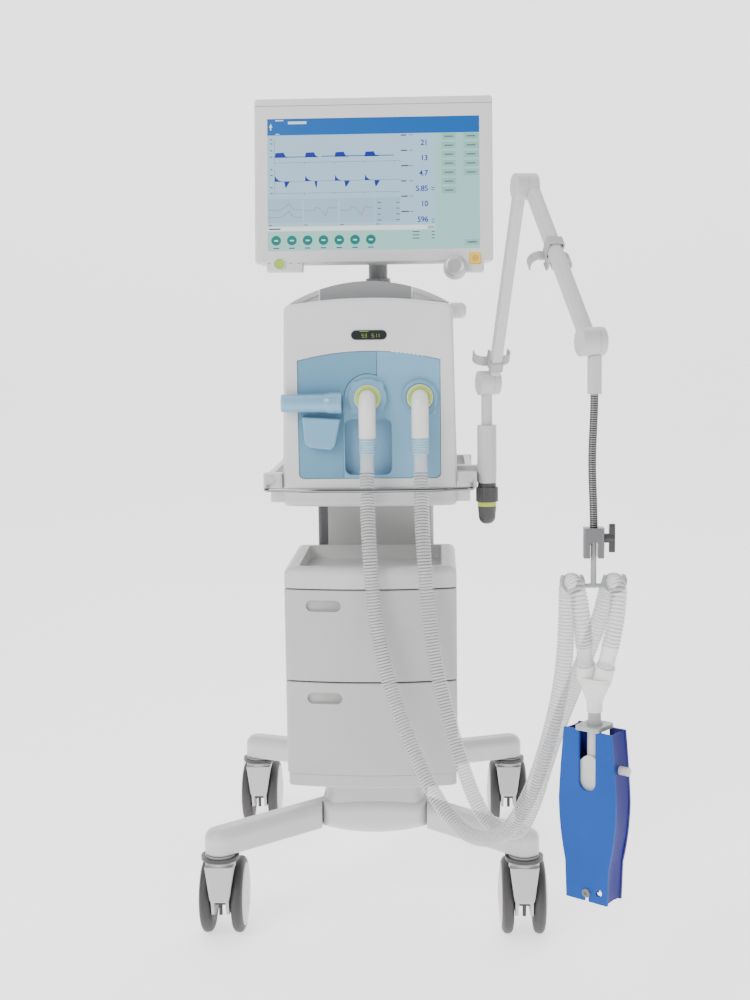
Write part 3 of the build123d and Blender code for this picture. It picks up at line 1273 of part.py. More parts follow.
def lung_plate(face_y, label):
    """Waisted plate of the test lung with the slot that its neck sits in."""
    foot = LUNG_TOP - LUNG_H
    plane = Plane(origin=Vector(LUNG_X, LUNG_Y, 0) + LUNG_FACE * face_y, x_dir=LUNG_SIDE, z_dir=LUNG_FACE)
    waist = LUNG_TOP - 100
    top, widest, low = LUNG_TOP_W / 2, LUNG_WAIST_W / 2, LUNG_FOOT_W / 2
    with BuildPart() as plate:
        with BuildSketch(plane) as outline:
            with BuildLine():
                Line((-top, LUNG_TOP), (top, LUNG_TOP))
                ThreePointArc((top, LUNG_TOP), (widest - 4, LUNG_TOP - 42), (widest, waist))
                ThreePointArc((widest, waist), (widest - 3, waist - 45), (low + 2, waist - 90))
                Polyline((low + 2, waist - 90), (low, foot), (-low, foot), (-low - 2, waist - 90))
                ThreePointArc((-low - 2, waist - 90), (-widest + 3, waist - 45), (-widest, waist))
                ThreePointArc((-widest, waist), (-widest + 4, LUNG_TOP - 42), (-top, LUNG_TOP))
            make_face()
            with Locations((0, LUNG_TOP - 20)):
                SlotOverall(130, 27, rotation=90, mode=Mode.SUBTRACT)
            with Locations((0, foot)):
                Rectangle(7, 14, mode=Mode.SUBTRACT)
            with Locations((20, foot + 16)):
                Circle(5, mode=Mode.SUBTRACT)
        extrude(amount=LUNG_T)
    return keep(plate.part, label)


lung_plate(LUNG_FRONT_Y, "lung_front_plate")
lung_plate(LUNG_REAR_Y - LUNG_T, "lung_rear_plate")

# ================================================================ write the nodes
CORD_PIECES = ("hose_left", "hose_right", "y_piece", "lung_front_plate", "lung_rear_plate", "lung_bag")
solid_parts = [part for part in parts if part.label not in CORD_PIECES]
rigid = solid_parts[0].bounding_box()
for part in solid_parts[1:]:
    rigid = rigid.add(part.bounding_box())
ORIGIN = Vector((rigid.min.X + rigid.max.X) / 2, (rigid.min.Y + rigid.max.Y) / 2, rigid.min.Z)

os.makedirs("parts", exist_ok=True)
for part in parts:
    placed = part.moved(Location(-ORIGIN))
    placed.label = part.label
    export_step(placed, f"parts/{part.label}.step")
print("origin in trolley frame", ORIGIN)
print(len(parts), "nodes")
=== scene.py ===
from math import cos, pi, radians, sin

import bpy
from mathutils import Matrix, Vector


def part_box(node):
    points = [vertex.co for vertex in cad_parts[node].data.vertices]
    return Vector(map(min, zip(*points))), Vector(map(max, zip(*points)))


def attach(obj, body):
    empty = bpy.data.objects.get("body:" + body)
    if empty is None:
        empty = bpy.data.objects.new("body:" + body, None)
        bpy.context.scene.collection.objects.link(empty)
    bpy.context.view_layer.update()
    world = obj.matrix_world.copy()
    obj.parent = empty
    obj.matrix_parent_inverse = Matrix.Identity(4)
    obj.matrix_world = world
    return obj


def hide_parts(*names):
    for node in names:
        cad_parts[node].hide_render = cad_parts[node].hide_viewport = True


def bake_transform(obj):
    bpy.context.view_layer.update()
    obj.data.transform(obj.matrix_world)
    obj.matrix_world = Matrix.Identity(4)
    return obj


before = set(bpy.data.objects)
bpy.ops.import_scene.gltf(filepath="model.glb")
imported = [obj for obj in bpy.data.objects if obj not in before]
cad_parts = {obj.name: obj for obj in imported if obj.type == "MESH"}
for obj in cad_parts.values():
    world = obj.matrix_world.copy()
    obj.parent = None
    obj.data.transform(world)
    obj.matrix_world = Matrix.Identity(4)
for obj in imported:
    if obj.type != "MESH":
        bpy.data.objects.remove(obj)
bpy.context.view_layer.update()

# ------------------------------------------------------------------ trolley axis and camera
# The trolley's own middle lies under its base hub; places on the trolley are given from it, in
# millimetres, across, fore and aft, and up from the floor.
MM = 0.001
HUB_BEHIND = 41
hub_low, hub_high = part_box("base_hub")
TROLLEY = Vector(((hub_low.x + hub_high.x) / 2, (hub_low.y + hub_high.y) / 2 - HUB_BEHIND * MM, 0))


def at(x, y, z):
    """A place on the trolley, given in millimetres."""
    return TROLLEY + Vector((x, y, z)) * MM


LENS, SENSOR = 53.7, 36
VIEW_FROM = (112, -2603, 1014)
VIEW_YAW, VIEW_PITCH, VIEW_ROLL = radians(2.43), radians(7.05), radians(-0.73)
viewer = bpy.data.objects.new("camera", bpy.data.cameras.new("camera"))
bpy.context.scene.collection.objects.link(viewer)
viewer.data.lens = LENS
viewer.data.sensor_width = SENSOR
viewer.location = at(*VIEW_FROM)
viewer.rotation_euler = (
    Matrix.Rotation(VIEW_YAW, 3, "Z") @ Matrix.Rotation(pi / 2 - VIEW_PITCH, 3, "X")
    @ Matrix.Rotation(VIEW_ROLL, 3, "Z")
).to_euler()
bpy.context.scene.camera = viewer


# ------------------------------------------------------------------ finishes and shapes
# Materials are small node trees that vary in colour, roughness and relief; shapes are plain
# meshes that ride on the bodies. Two colours meet over twice one of these widths, in metres.
SHARP = 0.0002
SHARP_EDGE = 0.0003


class Shade:
    """A value or colour in a material; arithmetic on it adds Math nodes."""

    def __init__(self, tree, socket):
        self.tree = tree
        self.socket = socket

    def node(self, kind, settings=None, inputs=None, output=0):
        """Any other node: its settings are made first, then its sockets are filled."""
        made = self.tree.nodes.new(kind)
        for key, value in (settings or {}).items():
            setattr(made, key, value)
        for key, value in (inputs or {}).items():
            if isinstance(value, Shade):
                self.tree.links.new(value.socket, made.inputs[key])
            else:
                made.inputs[key].default_value = value
        return Shade(self.tree, made.outputs[output])

    def math(self, operation, first, second=0.0):
        return self.node("ShaderNodeMath", {"operation": operation}, {0: first, 1: second})

    def __add__(self, other):
        return self.math("ADD", self, other)

    def __sub__(self, other):
        return self.math("SUBTRACT", self, other)

    def __rsub__(self, other):
        return self.math("SUBTRACT", other, self)

    def __mul__(self, other):
        return self.math("MULTIPLY", self, other)

    __radd__ = __add__
    __rmul__ = __mul__

    def above(self, edge, soft):
        """0 below an edge, 1 above it."""
        return self.node("ShaderNodeMapRange", {"clamp": True},
                         {"Value": self, "From Min": edge - soft, "From Max": edge + soft})

    def band(self, middle, half):
        """1 within half a width of a place, 0 elsewhere."""
        return self.above(middle - half, SHARP) - self.above(middle + half, SHARP)

    def waves(self, pitch):
        """Ripples between 0 and 1, one every pitch."""
        return self.math("SINE", self * (2 * pi / pitch)) * 0.5 + 0.5

    def mix_over(self, under, colour):
        """A colour laid over another shade where this is 1."""
        return self.node("ShaderNodeMix", {"data_type": "RGBA", "clamp_factor": True},
                         {0: self, 6: under, 7: (*colour, 1)}, 2)

    def blend(self, low, high):
        """Colour low where this is 0, high where it is 1."""
        return self.node("ShaderNodeMix", {"data_type": "RGBA"},
                         {0: self, 6: (*low, 1), 7: (*high, 1)}, 2)


class Finish:
    """A material: one Principled shader, with places in metres and the patterns laid over it."""

    def __init__(self, name, **fixed):
        self.material = bpy.data.materials.new(name)
        self.material.use_nodes = True
        self.tree = self.material.node_tree
        self.shader = self.tree.nodes["Principled BSDF"]
        for key, value in fixed.items():
            socket = self.shader.inputs[key.replace("_", " ")]
            socket.default_value = (*value, 1) if isinstance(value, tuple) else value
        coordinates = self.tree.nodes.new("ShaderNodeTexCoord")
        self.place = Shade(self.tree, coordinates.outputs["Object"])
        split = self.tree.nodes.new("ShaderNodeSeparateXYZ")
        self.tree.links.new(self.place.socket, split.inputs[0])
        self.x, self.y, self.z = (Shade(self.tree, split.outputs[i]) for i in range(3))

    def noise(self, scale, detail=3.0, rough=0.55):
        return self.place.node("ShaderNodeTexNoise", {}, {
            "Vector": self.place, "Scale": scale, "Detail": detail, "Roughness": rough})

    def node_mix(self, share, first, second):
        """First shade where share is 0, second where it is 1."""
        return self.place.node("ShaderNodeMix", {"data_type": "RGBA"},
                               {0: share, 6: first, 7: second}, 2)

    def feed(self, socket, shade):
        self.tree.links.new(shade.socket, self.shader.inputs[socket])

    def relief(self, height, distance, strength=1.0):
        bump = self.place.node("ShaderNodeBump", {}, {
            "Height": height, "Distance": distance, "Strength": strength})
        self.feed("Normal", bump)


def moulded(name, colour, shadow, roughness, grain=900.0, depth=0.00012, coat=0.0, **fixed):
    """Moulded plastic: fine spark-eroded grain, faint flow clouds and handling sheen."""
    made = Finish(name, Coat_Weight=coat, Coat_Roughness=0.25, **fixed)
    clouds = made.noise(9.0, 4.0)
    made.feed("Base Color", clouds.above(0.5, 0.22).blend(shadow, colour))
    made.feed("Roughness", made.noise(35.0, 5.0) * 0.12 + (roughness - 0.06))
    made.relief(made.noise(grain, 2.0), depth, 0.5)
    return made.material


def painted(name, colour, shadow, roughness):
    """Powder coat on a casting or sheet: soft orange peel with a slight cloudiness."""
    made = Finish(name, Coat_Weight=0.15, Coat_Roughness=0.3)
    made.feed("Base Color", made.noise(6.0, 4.0).above(0.5, 0.25).blend(shadow, colour))
    made.feed("Roughness", made.noise(60.0, 4.0) * 0.14 + (roughness - 0.07))
    made.relief(made.noise(420.0, 2.0), 0.0002, 0.45)
    return made.material


def coat(material, *nodes):
    """Give CAD pieces their finish."""
    for node in nodes:
        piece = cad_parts[node]
        for place in piece.material_slots:
            place.material = material


def solid(name, points, faces, material, body, slot, crease=35):
    """A mesh piece, shaded smooth up to the crease angle, riding on a body."""
    mesh = bpy.data.meshes.new(name)
    mesh.from_pydata([tuple(point) for point in points], [], faces)
    mesh.validate()
    mesh.materials.append(material)
    mesh.shade_smooth()
    mesh.set_sharp_from_angle(angle=radians(crease))
    piece = bpy.data.objects.new(name, mesh)
    bpy.context.scene.collection.objects.link(piece)
    if body:
        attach(piece, body)
    return piece


def quads_round(rows, steps):
    """Faces between rows of rings of points, in the order the rings were made."""
    faces = []
    for row in range(rows - 1):
        for step in range(steps):
            after = (step + 1) % steps
            faces.append((row * steps + step, row * steps + after, (row + 1) * steps + after,
                          (row + 1) * steps + step))
    return faces


def turned(profile, origin, axis, steps):
    """Points and faces of a lathed shape: profile is (along, radius) in millimetres."""
    axis = Vector(axis).normalized()
    side = axis.orthogonal().normalized()
    other = axis.cross(side)
    points = []
    for along, radius in profile:
        for step in range(steps):
            angle = 2 * pi * step / steps
            points.append(origin + axis * along * MM + (side * cos(angle) + other * sin(angle)) * radius * MM)
    rows = len(profile)
    faces = quads_round(rows, steps)
    faces.append(tuple(reversed(range(steps))))
    faces.append(tuple((rows - 1) * steps + step for step in range(steps)))
    return points, faces


def gathered(shapes):
    """Several shapes as one list of points and faces."""
    points, faces = [], []
    for more_points, more_faces in shapes:
        base = len(points)
        points += list(more_points)
        faces += [tuple(base + index for index in face) for face in more_faces]
    return points, faces


# ------------------------------------------------------------------ casters
# Twin-wheel casters: soft grey-black treads moulded on nylon wheels with pale domed covers,
# a pale moulded yoke, and a dark ring that locks wheel and swivel together.
pale_housing = moulded("caster_housing", (0.52, 0.52, 0.515), (0.48, 0.48, 0.48), 0.42)
tread_rubber = moulded("tread_rubber", (0.060, 0.056, 0.055), (0.042, 0.040, 0.040), 0.55, 500.0, 0.0002)
cover_plastic = moulded("wheel_cover", (0.60, 0.60, 0.595), (0.56, 0.56, 0.56), 0.36)
brake_plastic = moulded("brake_ring", (0.050, 0.050, 0.052), (0.038, 0.038, 0.040), 0.42)
WHEEL_IN, TYRE_WIDE, WHEEL_R, COVER_DOME = 15.5, 20.5, 62.5, 5.0
COVER_R = 51.0
WHEEL_STEPS = 96
for corner in ("front_left", "front_right", "rear_left", "rear_right"):
    coat(pale_housing, f"caster_{corner}_yoke")
    coat(brake_plastic, f"caster_{corner}_brake_ring")
    low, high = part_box(f"caster_{corner}_wheels")
    axle = (low + high) / 2
    outer = WHEEL_IN + TYRE_WIDE
    treads, covers = [], []
    for hand in (1, -1):
        tread = [(WHEEL_IN + 1.4, 30), (WHEEL_IN + 0.3, 44), (WHEEL_IN + 0.4, 50), (WHEEL_IN + 1.6, 56.5),
                 (WHEEL_IN + 4.4, 60.6), (WHEEL_IN + 8, WHEEL_R - 0.5), (WHEEL_IN + 10.5, WHEEL_R - 0.1),
                 (outer - 7, WHEEL_R - 0.3), (outer - 4, 60.6), (outer - 1.7, 57), (outer - 0.5, 53.5),
                 (outer - 0.4, COVER_R + 0.7), (outer - 1.6, COVER_R + 0.5), (outer - 1.8, 46)]
        treads.append(turned(tread, axle, (hand, 0, 0), WHEEL_STEPS))
        cover = [(outer - 3.4, COVER_R - 0.1), (outer - 0.9, COVER_R), (outer, COVER_R - 0.8),
                 (outer + 0.8, 47), (outer + 2.2, 38), (outer + 3.3, 28), (outer + 4.0, 18.5),
                 (outer + 3.4, 17.6), (outer + 3.5, 16.8), (outer + 4.3, 15.8), (outer + COVER_DOME - 0.3, 6),
                 (outer + COVER_DOME - 0.2, 1)]
        covers.append(turned(cover, axle, (hand, 0, 0), WHEEL_STEPS))
    wheels = f"caster_{corner}_wheels"
    tyres = solid(f"caster_{corner}_treads", *gathered(treads), tread_rubber, f"{wheels}_body", "tyre")
    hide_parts(wheels)
    solid(f"caster_{corner}_covers", *gathered(covers), cover_plastic, f"{wheels}_body", "tyre")

# ------------------------------------------------------------------ base
# Four cast aluminium legs bolted to a hollow hub casting, all powder-coated the same pale grey.
base_paint = painted("base_paint", (0.62, 0.62, 0.615), (0.585, 0.585, 0.58), 0.38)
coat(base_paint, "base_legs", "base_hub")

# ------------------------------------------------------------------ cabinet and drawers
# Folded steel cabinet with two moulded drawer fronts, a finger recess in each, and a deep tray
# moulded into its lid.
cabinet_paint = painted("cabinet_paint", (0.50, 0.495, 0.49), (0.47, 0.465, 0.46), 0.45)
front_plastic = moulded("drawer_front", (0.495, 0.49, 0.485), (0.465, 0.46, 0.455), 0.42)
tray_plastic = moulded("tray_plastic", (0.60, 0.60, 0.595), (0.56, 0.56, 0.555), 0.40)
coat(cabinet_paint, "cabinet_shell")
coat(front_plastic, "drawer_upper", "drawer_lower")
coat(tray_plastic, "cabinet_tray")
coat(brake_plastic, "power_unit", "gas_mixer_and_blower")

# ------------------------------------------------------------------ column, platform and rails
# A rectangular steel mast, a moulded platform for the unit, and a flat steel rail on each side
# held in cast blocks that also take the ends of the chromed push handle.
platform_paint = moulded("platform_plastic", (0.57, 0.57, 0.565), (0.54, 0.54, 0.535), 0.40)
coat(platform_paint, "platform")
STRIP_TO = -86
column = Finish("column_paint", Coat_Weight=0.1)
strip = 1.0 - column.x.above(at(STRIP_TO, 0, 0).x, SHARP_EDGE)
column_tone = column.noise(6.0).above(0.5, 0.25).blend((0.50, 0.495, 0.49), (0.53, 0.525, 0.52))
column.feed("Base Color", strip.mix_over(column_tone, (0.10, 0.10, 0.105)))
column.feed("Roughness", column.noise(60.0) * 0.14 + 0.38)
column.relief(column.noise(420.0, 2.0), 0.0002, 0.45)
coat(column.material, "mast_column")
coat(base_paint, "side_rails")
chrome = Finish("handle_chrome", Metallic=1.0, Base_Color=(0.22, 0.22, 0.23))
chrome.feed("Roughness", chrome.noise(120.0, 4.0) * 0.06 + 0.07)
coat(chrome.material, "front_handle_bar")

# ------------------------------------------------------------------ ventilation unit
# A moulded white case with a glossy blue connector panel, whose left half is a translucent flap
# over the valve block.
case_plastic = moulded("case_plastic", (0.68, 0.68, 0.675), (0.65, 0.65, 0.645), 0.36)
coat(case_plastic, "unit_case", "rear_panel")
handle = Finish("carry_handle_plastic", Coat_Weight=0.1)
SEAM_LEFT, SEAM_RIGHT = at(-82, 0, 0).x, at(72, 0, 0).x
SEAM_HALF = 0.0012
core = handle.x.above(SEAM_LEFT, SHARP_EDGE) - handle.x.above(SEAM_RIGHT, SHARP_EDGE)
handle_sides = core.blend((0.52, 0.525, 0.53), (0.25, 0.255, 0.26))
seams = handle.x.band(SEAM_LEFT, SEAM_HALF) + handle.x.band(SEAM_RIGHT, SEAM_HALF)
handle.feed("Base Color", seams.mix_over(handle_sides, (0.78, 0.78, 0.78)))
handle.feed("Roughness", handle.noise(35.0, 5.0) * 0.12 + 0.38)
handle.relief(handle.noise(900.0, 2.0), 0.00012, 0.5)
coat(handle.material, "carry_handle")
panel_blue = Finish("panel_blue", Coat_Weight=0.5, Coat_Roughness=0.12)
panel_clouds = panel_blue.noise(7.0, 3.0).above(0.5, 0.25)
panel_blue.feed("Base Color", panel_clouds.blend((0.17, 0.37, 0.54), (0.21, 0.41, 0.57)))
panel_blue.feed("Roughness", panel_blue.noise(40.0, 3.0) * 0.08 + 0.20)
panel_blue.relief(panel_blue.noise(700.0, 2.0), 0.0001, 0.25)
coat(panel_blue.material, "blue_panel")


def clear_plastic(name, colour, deep, thin, thick, roughness=0.12):
    """Tinted clear moulding: thin seen square on, denser at a glancing angle."""
    made = Finish(name, Coat_Weight=0.6, Coat_Roughness=0.08)
    made.material.surface_render_method = "BLENDED"
    facing = made.place.node("ShaderNodeLayerWeight", {}, {"Blend": 0.35}, 1)
    made.feed("Base Color", facing.blend(colour, deep))
    made.feed("Alpha", facing * (thick - thin) + thin)
    made.feed("Roughness", made.noise(50.0, 3.0) * 0.06 + roughness)
    made.relief(made.noise(160.0, 2.0), 0.0001, 0.3)
    return made.material


flap_blue = clear_plastic("flap_blue", (0.20, 0.45, 0.64), (0.08, 0.25, 0.43), 0.62, 0.95)
tube_blue = clear_plastic("port_blue", (0.26, 0.52, 0.72), (0.09, 0.29, 0.50), 0.66, 0.97)
coat(flap_blue, "blue_flap")
coat(tube_blue, "exhaust_port", "water_trap", "valve_lock_ring", "port_collar_right")
elbow = Finish("port_elbow_plastic", Coat_Weight=0.35, Coat_Roughness=0.2)
ELBOW_CUFF_TOP = 816
ELBOW_RIB_PITCH = 0.0042
cuff = 1.0 - elbow.z.above(at(0, 0, ELBOW_CUFF_TOP).z, SHARP)
ribs = elbow.z.waves(ELBOW_RIB_PITCH)
elbow_tone = elbow.noise(9.0).above(0.5, 0.2).blend((0.74, 0.73, 0.71), (0.78, 0.77, 0.75))
# The cuff's blue is darker in the valleys of its ribs and lighter on their crests: painted shade and painted
# highlight that follow the ribs.
cuff_blue_with_rib_shading = ribs.blend((0.20, 0.40, 0.54), (0.36, 0.58, 0.70))
elbow.feed("Base Color", elbow.node_mix(cuff, elbow_tone, cuff_blue_with_rib_shading))
elbow.feed("Roughness", elbow.noise(50.0) * 0.1 + 0.26)
elbow.relief(ribs * cuff, 0.0012, 0.8)
coat(elbow.material, "port_elbows")
lime = moulded("index_lime", (0.42, 0.60, 0.07), (0.37, 0.54, 0.06), 0.35)
PORT_Z, COLLAR_FACE = 880, -149
RING_STEPS = 48
INDEX_RING = [(12.2, 15.2), (12.2, 19.4), (13.8, 19.9), (15.6, 19.4), (16.2, 18.0), (16.2, 14.6),
              (14.0, 14.1)]
for side, port_x in (("left", -2), ("right", 84)):
    ring = turned(INDEX_RING, at(port_x, COLLAR_FACE, PORT_Z), (0, -1, 0), RING_STEPS)
    solid(f"index_ring_{side}", *ring, lime, "trolley", "white_plastic")
black_glass = Finish("black_glass", Base_Color=(0.012, 0.013, 0.015), Coat_Weight=0.8)
black_glass.feed("Roughness", black_glass.noise(30.0, 3.0) * 0.05 + 0.08)
coat(black_glass.material, "status_display")

lamp_green = Finish("status_green", Base_Color=(0.0, 0.0, 0.0), Emission_Strength=1.4)
lamp_glow = lamp_green.noise(40.0).above(0.5, 0.2)
lamp_green.feed("Emission Color", lamp_glow.blend((0.22, 0.38, 0.04), (0.28, 0.46, 0.05)))
# Lamps of the status display, as left, top, right and bottom: strokes of its digits, each digit's
# place and strokes, and a bar with two dots.
STATUS_FACE, STATUS_FOOT = -152.2, 978.5
STROKES = {"a": (0, 6, 3.4, 5.4), "g": (0, 3.3, 3.4, 2.7), "d": (0, 0.6, 3.4, 0), "b": (2.8, 6, 3.4, 3),
           "c": (2.8, 3, 3.4, 0), "f": (0, 6, 0.6, 3)}
STATUS = [(-10.5, "afgcd"), (-5.5, "abgcd"), (6.0, "afgcd"), (11.0, "bc"), (15.0, "bc")]
STATUS_BAR_AND_DOTS = [(-14, 10.4, 1, 9.4), (10.4, 4.4, 10.9, 3.9), (10.4, 2.2, 10.9, 1.7)]
lamps, panes = [], []
for left, strokes in STATUS:
    panes += [(left + STROKES[part][0], STROKES[part][1], left + STROKES[part][2], STROKES[part][3])
              for part in strokes]
panes += STATUS_BAR_AND_DOTS
for left, high, right, low in panes:
    lamps += [at(across, STATUS_FACE, STATUS_FOOT + up)
              for across, up in ((left, high), (right, high), (right, low), (left, low))]
solid("status_lamps", lamps, [tuple(range(4 * pane, 4 * pane + 4)) for pane in range(len(panes))],
      lamp_green.material, "trolley", "black_glass")

# ------------------------------------------------------------------ display
# A white moulded housing on a tilting neck, with a wide touch screen, a rotary knob, a yellow
# silence key and a green standby key under it.
coat(case_plastic, "monitor_shell", "monitor_bezel")
coat(black_glass.material, "screen")
neck_paint = painted("neck_paint", (0.20, 0.205, 0.21), (0.17, 0.175, 0.18), 0.40)
coat(neck_paint, "monitor_neck")
knob_metal = Finish("knob_metal", Metallic=0.55, Base_Color=(0.52, 0.52, 0.53))
knob_metal.feed("Roughness", knob_metal.noise(300.0, 3.0) * 0.12 + 0.30)
coat(knob_metal.material, "monitor_knob")
silence_yellow = moulded("silence_yellow", (0.90, 0.56, 0.06), (0.86, 0.52, 0.05), 0.35, coat=0.3)
coat(silence_yellow, "alarm_button")
standby_green = moulded("standby_green", (0.36, 0.56, 0.05), (0.32, 0.52, 0.04), 0.35, coat=0.3)
coat(standby_green, "power_button")
SCREEN_AT = at(5, 13, 1240)
TILT = radians(7.8)
SCREEN_OUT = Vector((0, -cos(TILT), sin(TILT)))
SCREEN_UP = Vector((0, sin(TILT), cos(TILT)))
SCREEN_W, SCREEN_H = 366, 229
# The picture's layers stand behind the display's front plane, and printed marks just before it.
GROUND, PANEL, KEYS, LINES, MARKS, PRINT = -0.7, -0.65, -0.6, -0.55, -0.5, 0.12
DIGIT_HIGH, DIGIT_BOLD, DIGIT_SPACE = 0.73, 0.022, 0.95


def on_display(across, up, lift):
    """A place before the display's front plane, in millimetres from the screen's middle."""
    return SCREEN_AT + Vector((across * MM, 0, 0)) + SCREEN_UP * (up * MM) + SCREEN_OUT * (lift * MM)


def lit(name, colour, glow=1.5):
    """A lit part of the picture, a little uneven over the backlight."""
    made = Finish(name, Base_Color=(0.0, 0.0, 0.0), Emission_Strength=glow, Roughness=0.3)
    linear = tuple((part / 255) ** 2.2 for part in colour)
    dimmer = tuple(part * 0.95 for part in linear)
    made.feed("Emission Color", made.noise(6.0, 2.0).above(0.5, 0.25).blend(dimmer, linear))
    return made.material


def block(left, top, right, bottom):
    return [(left, top), (right, top), (right, bottom), (left, bottom)]


def dial(across, down, radius, steps=28):
    return [(across + radius * cos(2 * pi * step / steps), down + radius * sin(2 * pi * step / steps))
            for step in range(steps)]


def stroke(line, width):
    """Thin quads along a line of places."""
    quads = []
    for (x0, y0), (x1, y1) in zip(line, line[1:]):
        run = Vector((x1 - x0, y1 - y0))
        off = Vector((-run.y, run.x)).normalized() * (width / 2)
        quads.append([(x0 + off.x, y0 + off.y), (x1 + off.x, y1 + off.y), (x1 - off.x, y1 - off.y),
                      (x0 - off.x, y0 - off.y)])
    return quads


def drawn(name, outlines, material, lift):
    """Flat shapes of the picture; places run right and down from the screen's upper left."""
    points, faces = [], []
    for outline in outlines:
        faces.append(tuple(reversed(range(len(points), len(points) + len(outline)))))
        points += [on_display(x - SCREEN_W / 2, SCREEN_H / 2 - y, lift) for x, y in outline]
    return solid(name, points, faces, material, "display_body", "black_glass")


def figures(name, text, right, middle, high, material, lift):
    """A number of the picture, set against its right edge."""
    letters = bpy.data.curves.new(name, "FONT")
    letters.body = text
    letters.size = high / DIGIT_HIGH
    letters.offset = high * DIGIT_BOLD
    letters.space_character = DIGIT_SPACE
    letters.align_x = "RIGHT"
    letters.align_y = "CENTER"
    holder = bpy.data.objects.new(name, letters)
    bpy.context.scene.collection.objects.link(holder)
    mesh = bpy.data.meshes.new_from_object(holder)
    points = [on_display(right - SCREEN_W / 2 + vertex.co.x, SCREEN_H / 2 - middle + vertex.co.y, lift)
              for vertex in mesh.vertices]
    faces = [tuple(face.vertices) for face in mesh.polygons]
    bpy.data.objects.remove(holder)
    bpy.data.meshes.remove(mesh)
    solid(f"{name}_figures", points, faces, material, "display_body", "black_glass")


navy = lit("picture_navy", (22, 42, 150))
ink = lit("picture_ink", (60, 84, 104))
drawn("picture_ground", [block(0, 28, 289, 187)], lit("picture_blue", (168, 203, 226)), GROUND)
drawn("picture_bar", [block(0, 0, 366, 28.6)], lit("picture_bar", (10, 94, 172)), PANEL)
drawn("picture_side", [block(289, 28.6, 366, 229), block(0, 195, 289, 229)],
      lit("picture_teal", (158, 209, 204)), GROUND)
drawn("picture_band", [block(0, 187, 289, 195)], lit("picture_white", (236, 240, 240)), GROUND)
plots = [block(left, 139, right, 181) for left, right in ((0, 60), (62.5, 122), (124.5, 184), (186, 229))]
drawn("picture_plots", plots, lit("picture_plot", (158, 190, 214)), PANEL)
KEY_TOP, KEY_HALF, KEY_PITCH, FAR_KEY_PITCH = 35, 5.5, 15.5, 15.6
DIAL_PITCH = 27.3
inner_rows = [KEY_TOP + KEY_PITCH * row for row in range(7)]
outer_rows = [KEY_TOP + FAR_KEY_PITCH * row for row in range(5)]
keys = [block(301, middle - KEY_HALF, 325.5, middle + KEY_HALF) for middle in inner_rows]
keys += [block(338.6, middle - KEY_HALF, 365, middle + KEY_HALF) for middle in outer_rows]
keys += [block(340, 213, 364.5, 223), block(276, 188.6, 288, 194)]
drawn("picture_keys", keys, lit("picture_key", (140, 190, 182)), KEYS)
drawn("picture_dials", [dial(14.3 + DIAL_PITCH * number, 211, 8.5) for number in range(7)],
      lit("picture_dial", (4, 118, 110)), KEYS)

# Two curves: blunt pulses, and spikes that fall away above the line and come back below it.
BREATHS = ((12.3, 26.5), (64.9, 21.4), (116.4, 26.5), (168.2, 26.5))
PULSE_FOOT, SPIKE_LINE = 67.4, 108.8
pulses, spikes = [], []
for left, back in BREATHS:
    pulses.append([(left, 66.8), (left + 1.6, 59.2), (left + 15.8, 58.6), (left + 19.2, 65.2),
                   (left + 24, 66.4), (left + 24, PULSE_FOOT), (left, PULSE_FOOT)])
    spikes.append([(left, SPIKE_LINE), (left + 0.8, 98.4), (left + 3.4, 103.4), (left + 8, 107.2),
                   (left + 15, SPIKE_LINE)])
    spikes.append([(left + 16.4, SPIKE_LINE), (left + 18.6, 119.6), (left + 20.6, 118.6),
                   (left + back, SPIKE_LINE)])
pulses += [block(12.3, 65.8, 86, 67.2), block(93, 65.2, 219, 66.6)]
drawn("picture_waves", pulses + spikes, navy, LINES)

AXIS, THIN, THICK = 12.3, 0.5, 0.55
axes = stroke([(AXIS, 36), (AXIS, 78)], THIN) + stroke([(AXIS, 76.4), (230, 75.6)], THIN)
axes += stroke([(AXIS, 88), (AXIS, 130)], THIN) + stroke([(AXIS, 129.6), (230, 128.8)], THIN)
axes += stroke([(AXIS, SPIKE_LINE), (230, 108)], THICK)
for tick in (AXIS, 64, 116, 168, 220):
    axes += [block(tick - 0.3, 76, tick + 0.3, 79), block(tick - 0.3, 129, tick + 0.3, 132)]
for down in (36, 43, 55, 66, 88, 98, 119, 129):
    axes.append(block(4.5, down - 0.8, 9, down + 0.8))
for down in (158, 171):
    axes += stroke([(1, down), (21, down), (30, down - 4), (37, down - 11), (42, down - 4), (47, down),
                    (59, down)], THICK)
for left in (62.5, 124.5):
    axes += stroke([(left + 1, 160), (left + 18, 160), (left + 21, 154), (left + 27, 156), (left + 33, 162),
                    (left + 38, 169), (left + 42, 156), (left + 46, 153), (left + 49, 156),
                    (left + 58, 155)], THICK)
drawn("picture_axes", axes, ink, LINES)
orange = [block(middle - 0.25, 139, middle + 0.25, 181) for middle in (48.5, 110.2, 172.5)]
orange.append(block(12.8, 44.8, 229, 45.2))
drawn("picture_orange", orange, lit("picture_orange", (222, 170, 140)), LINES)

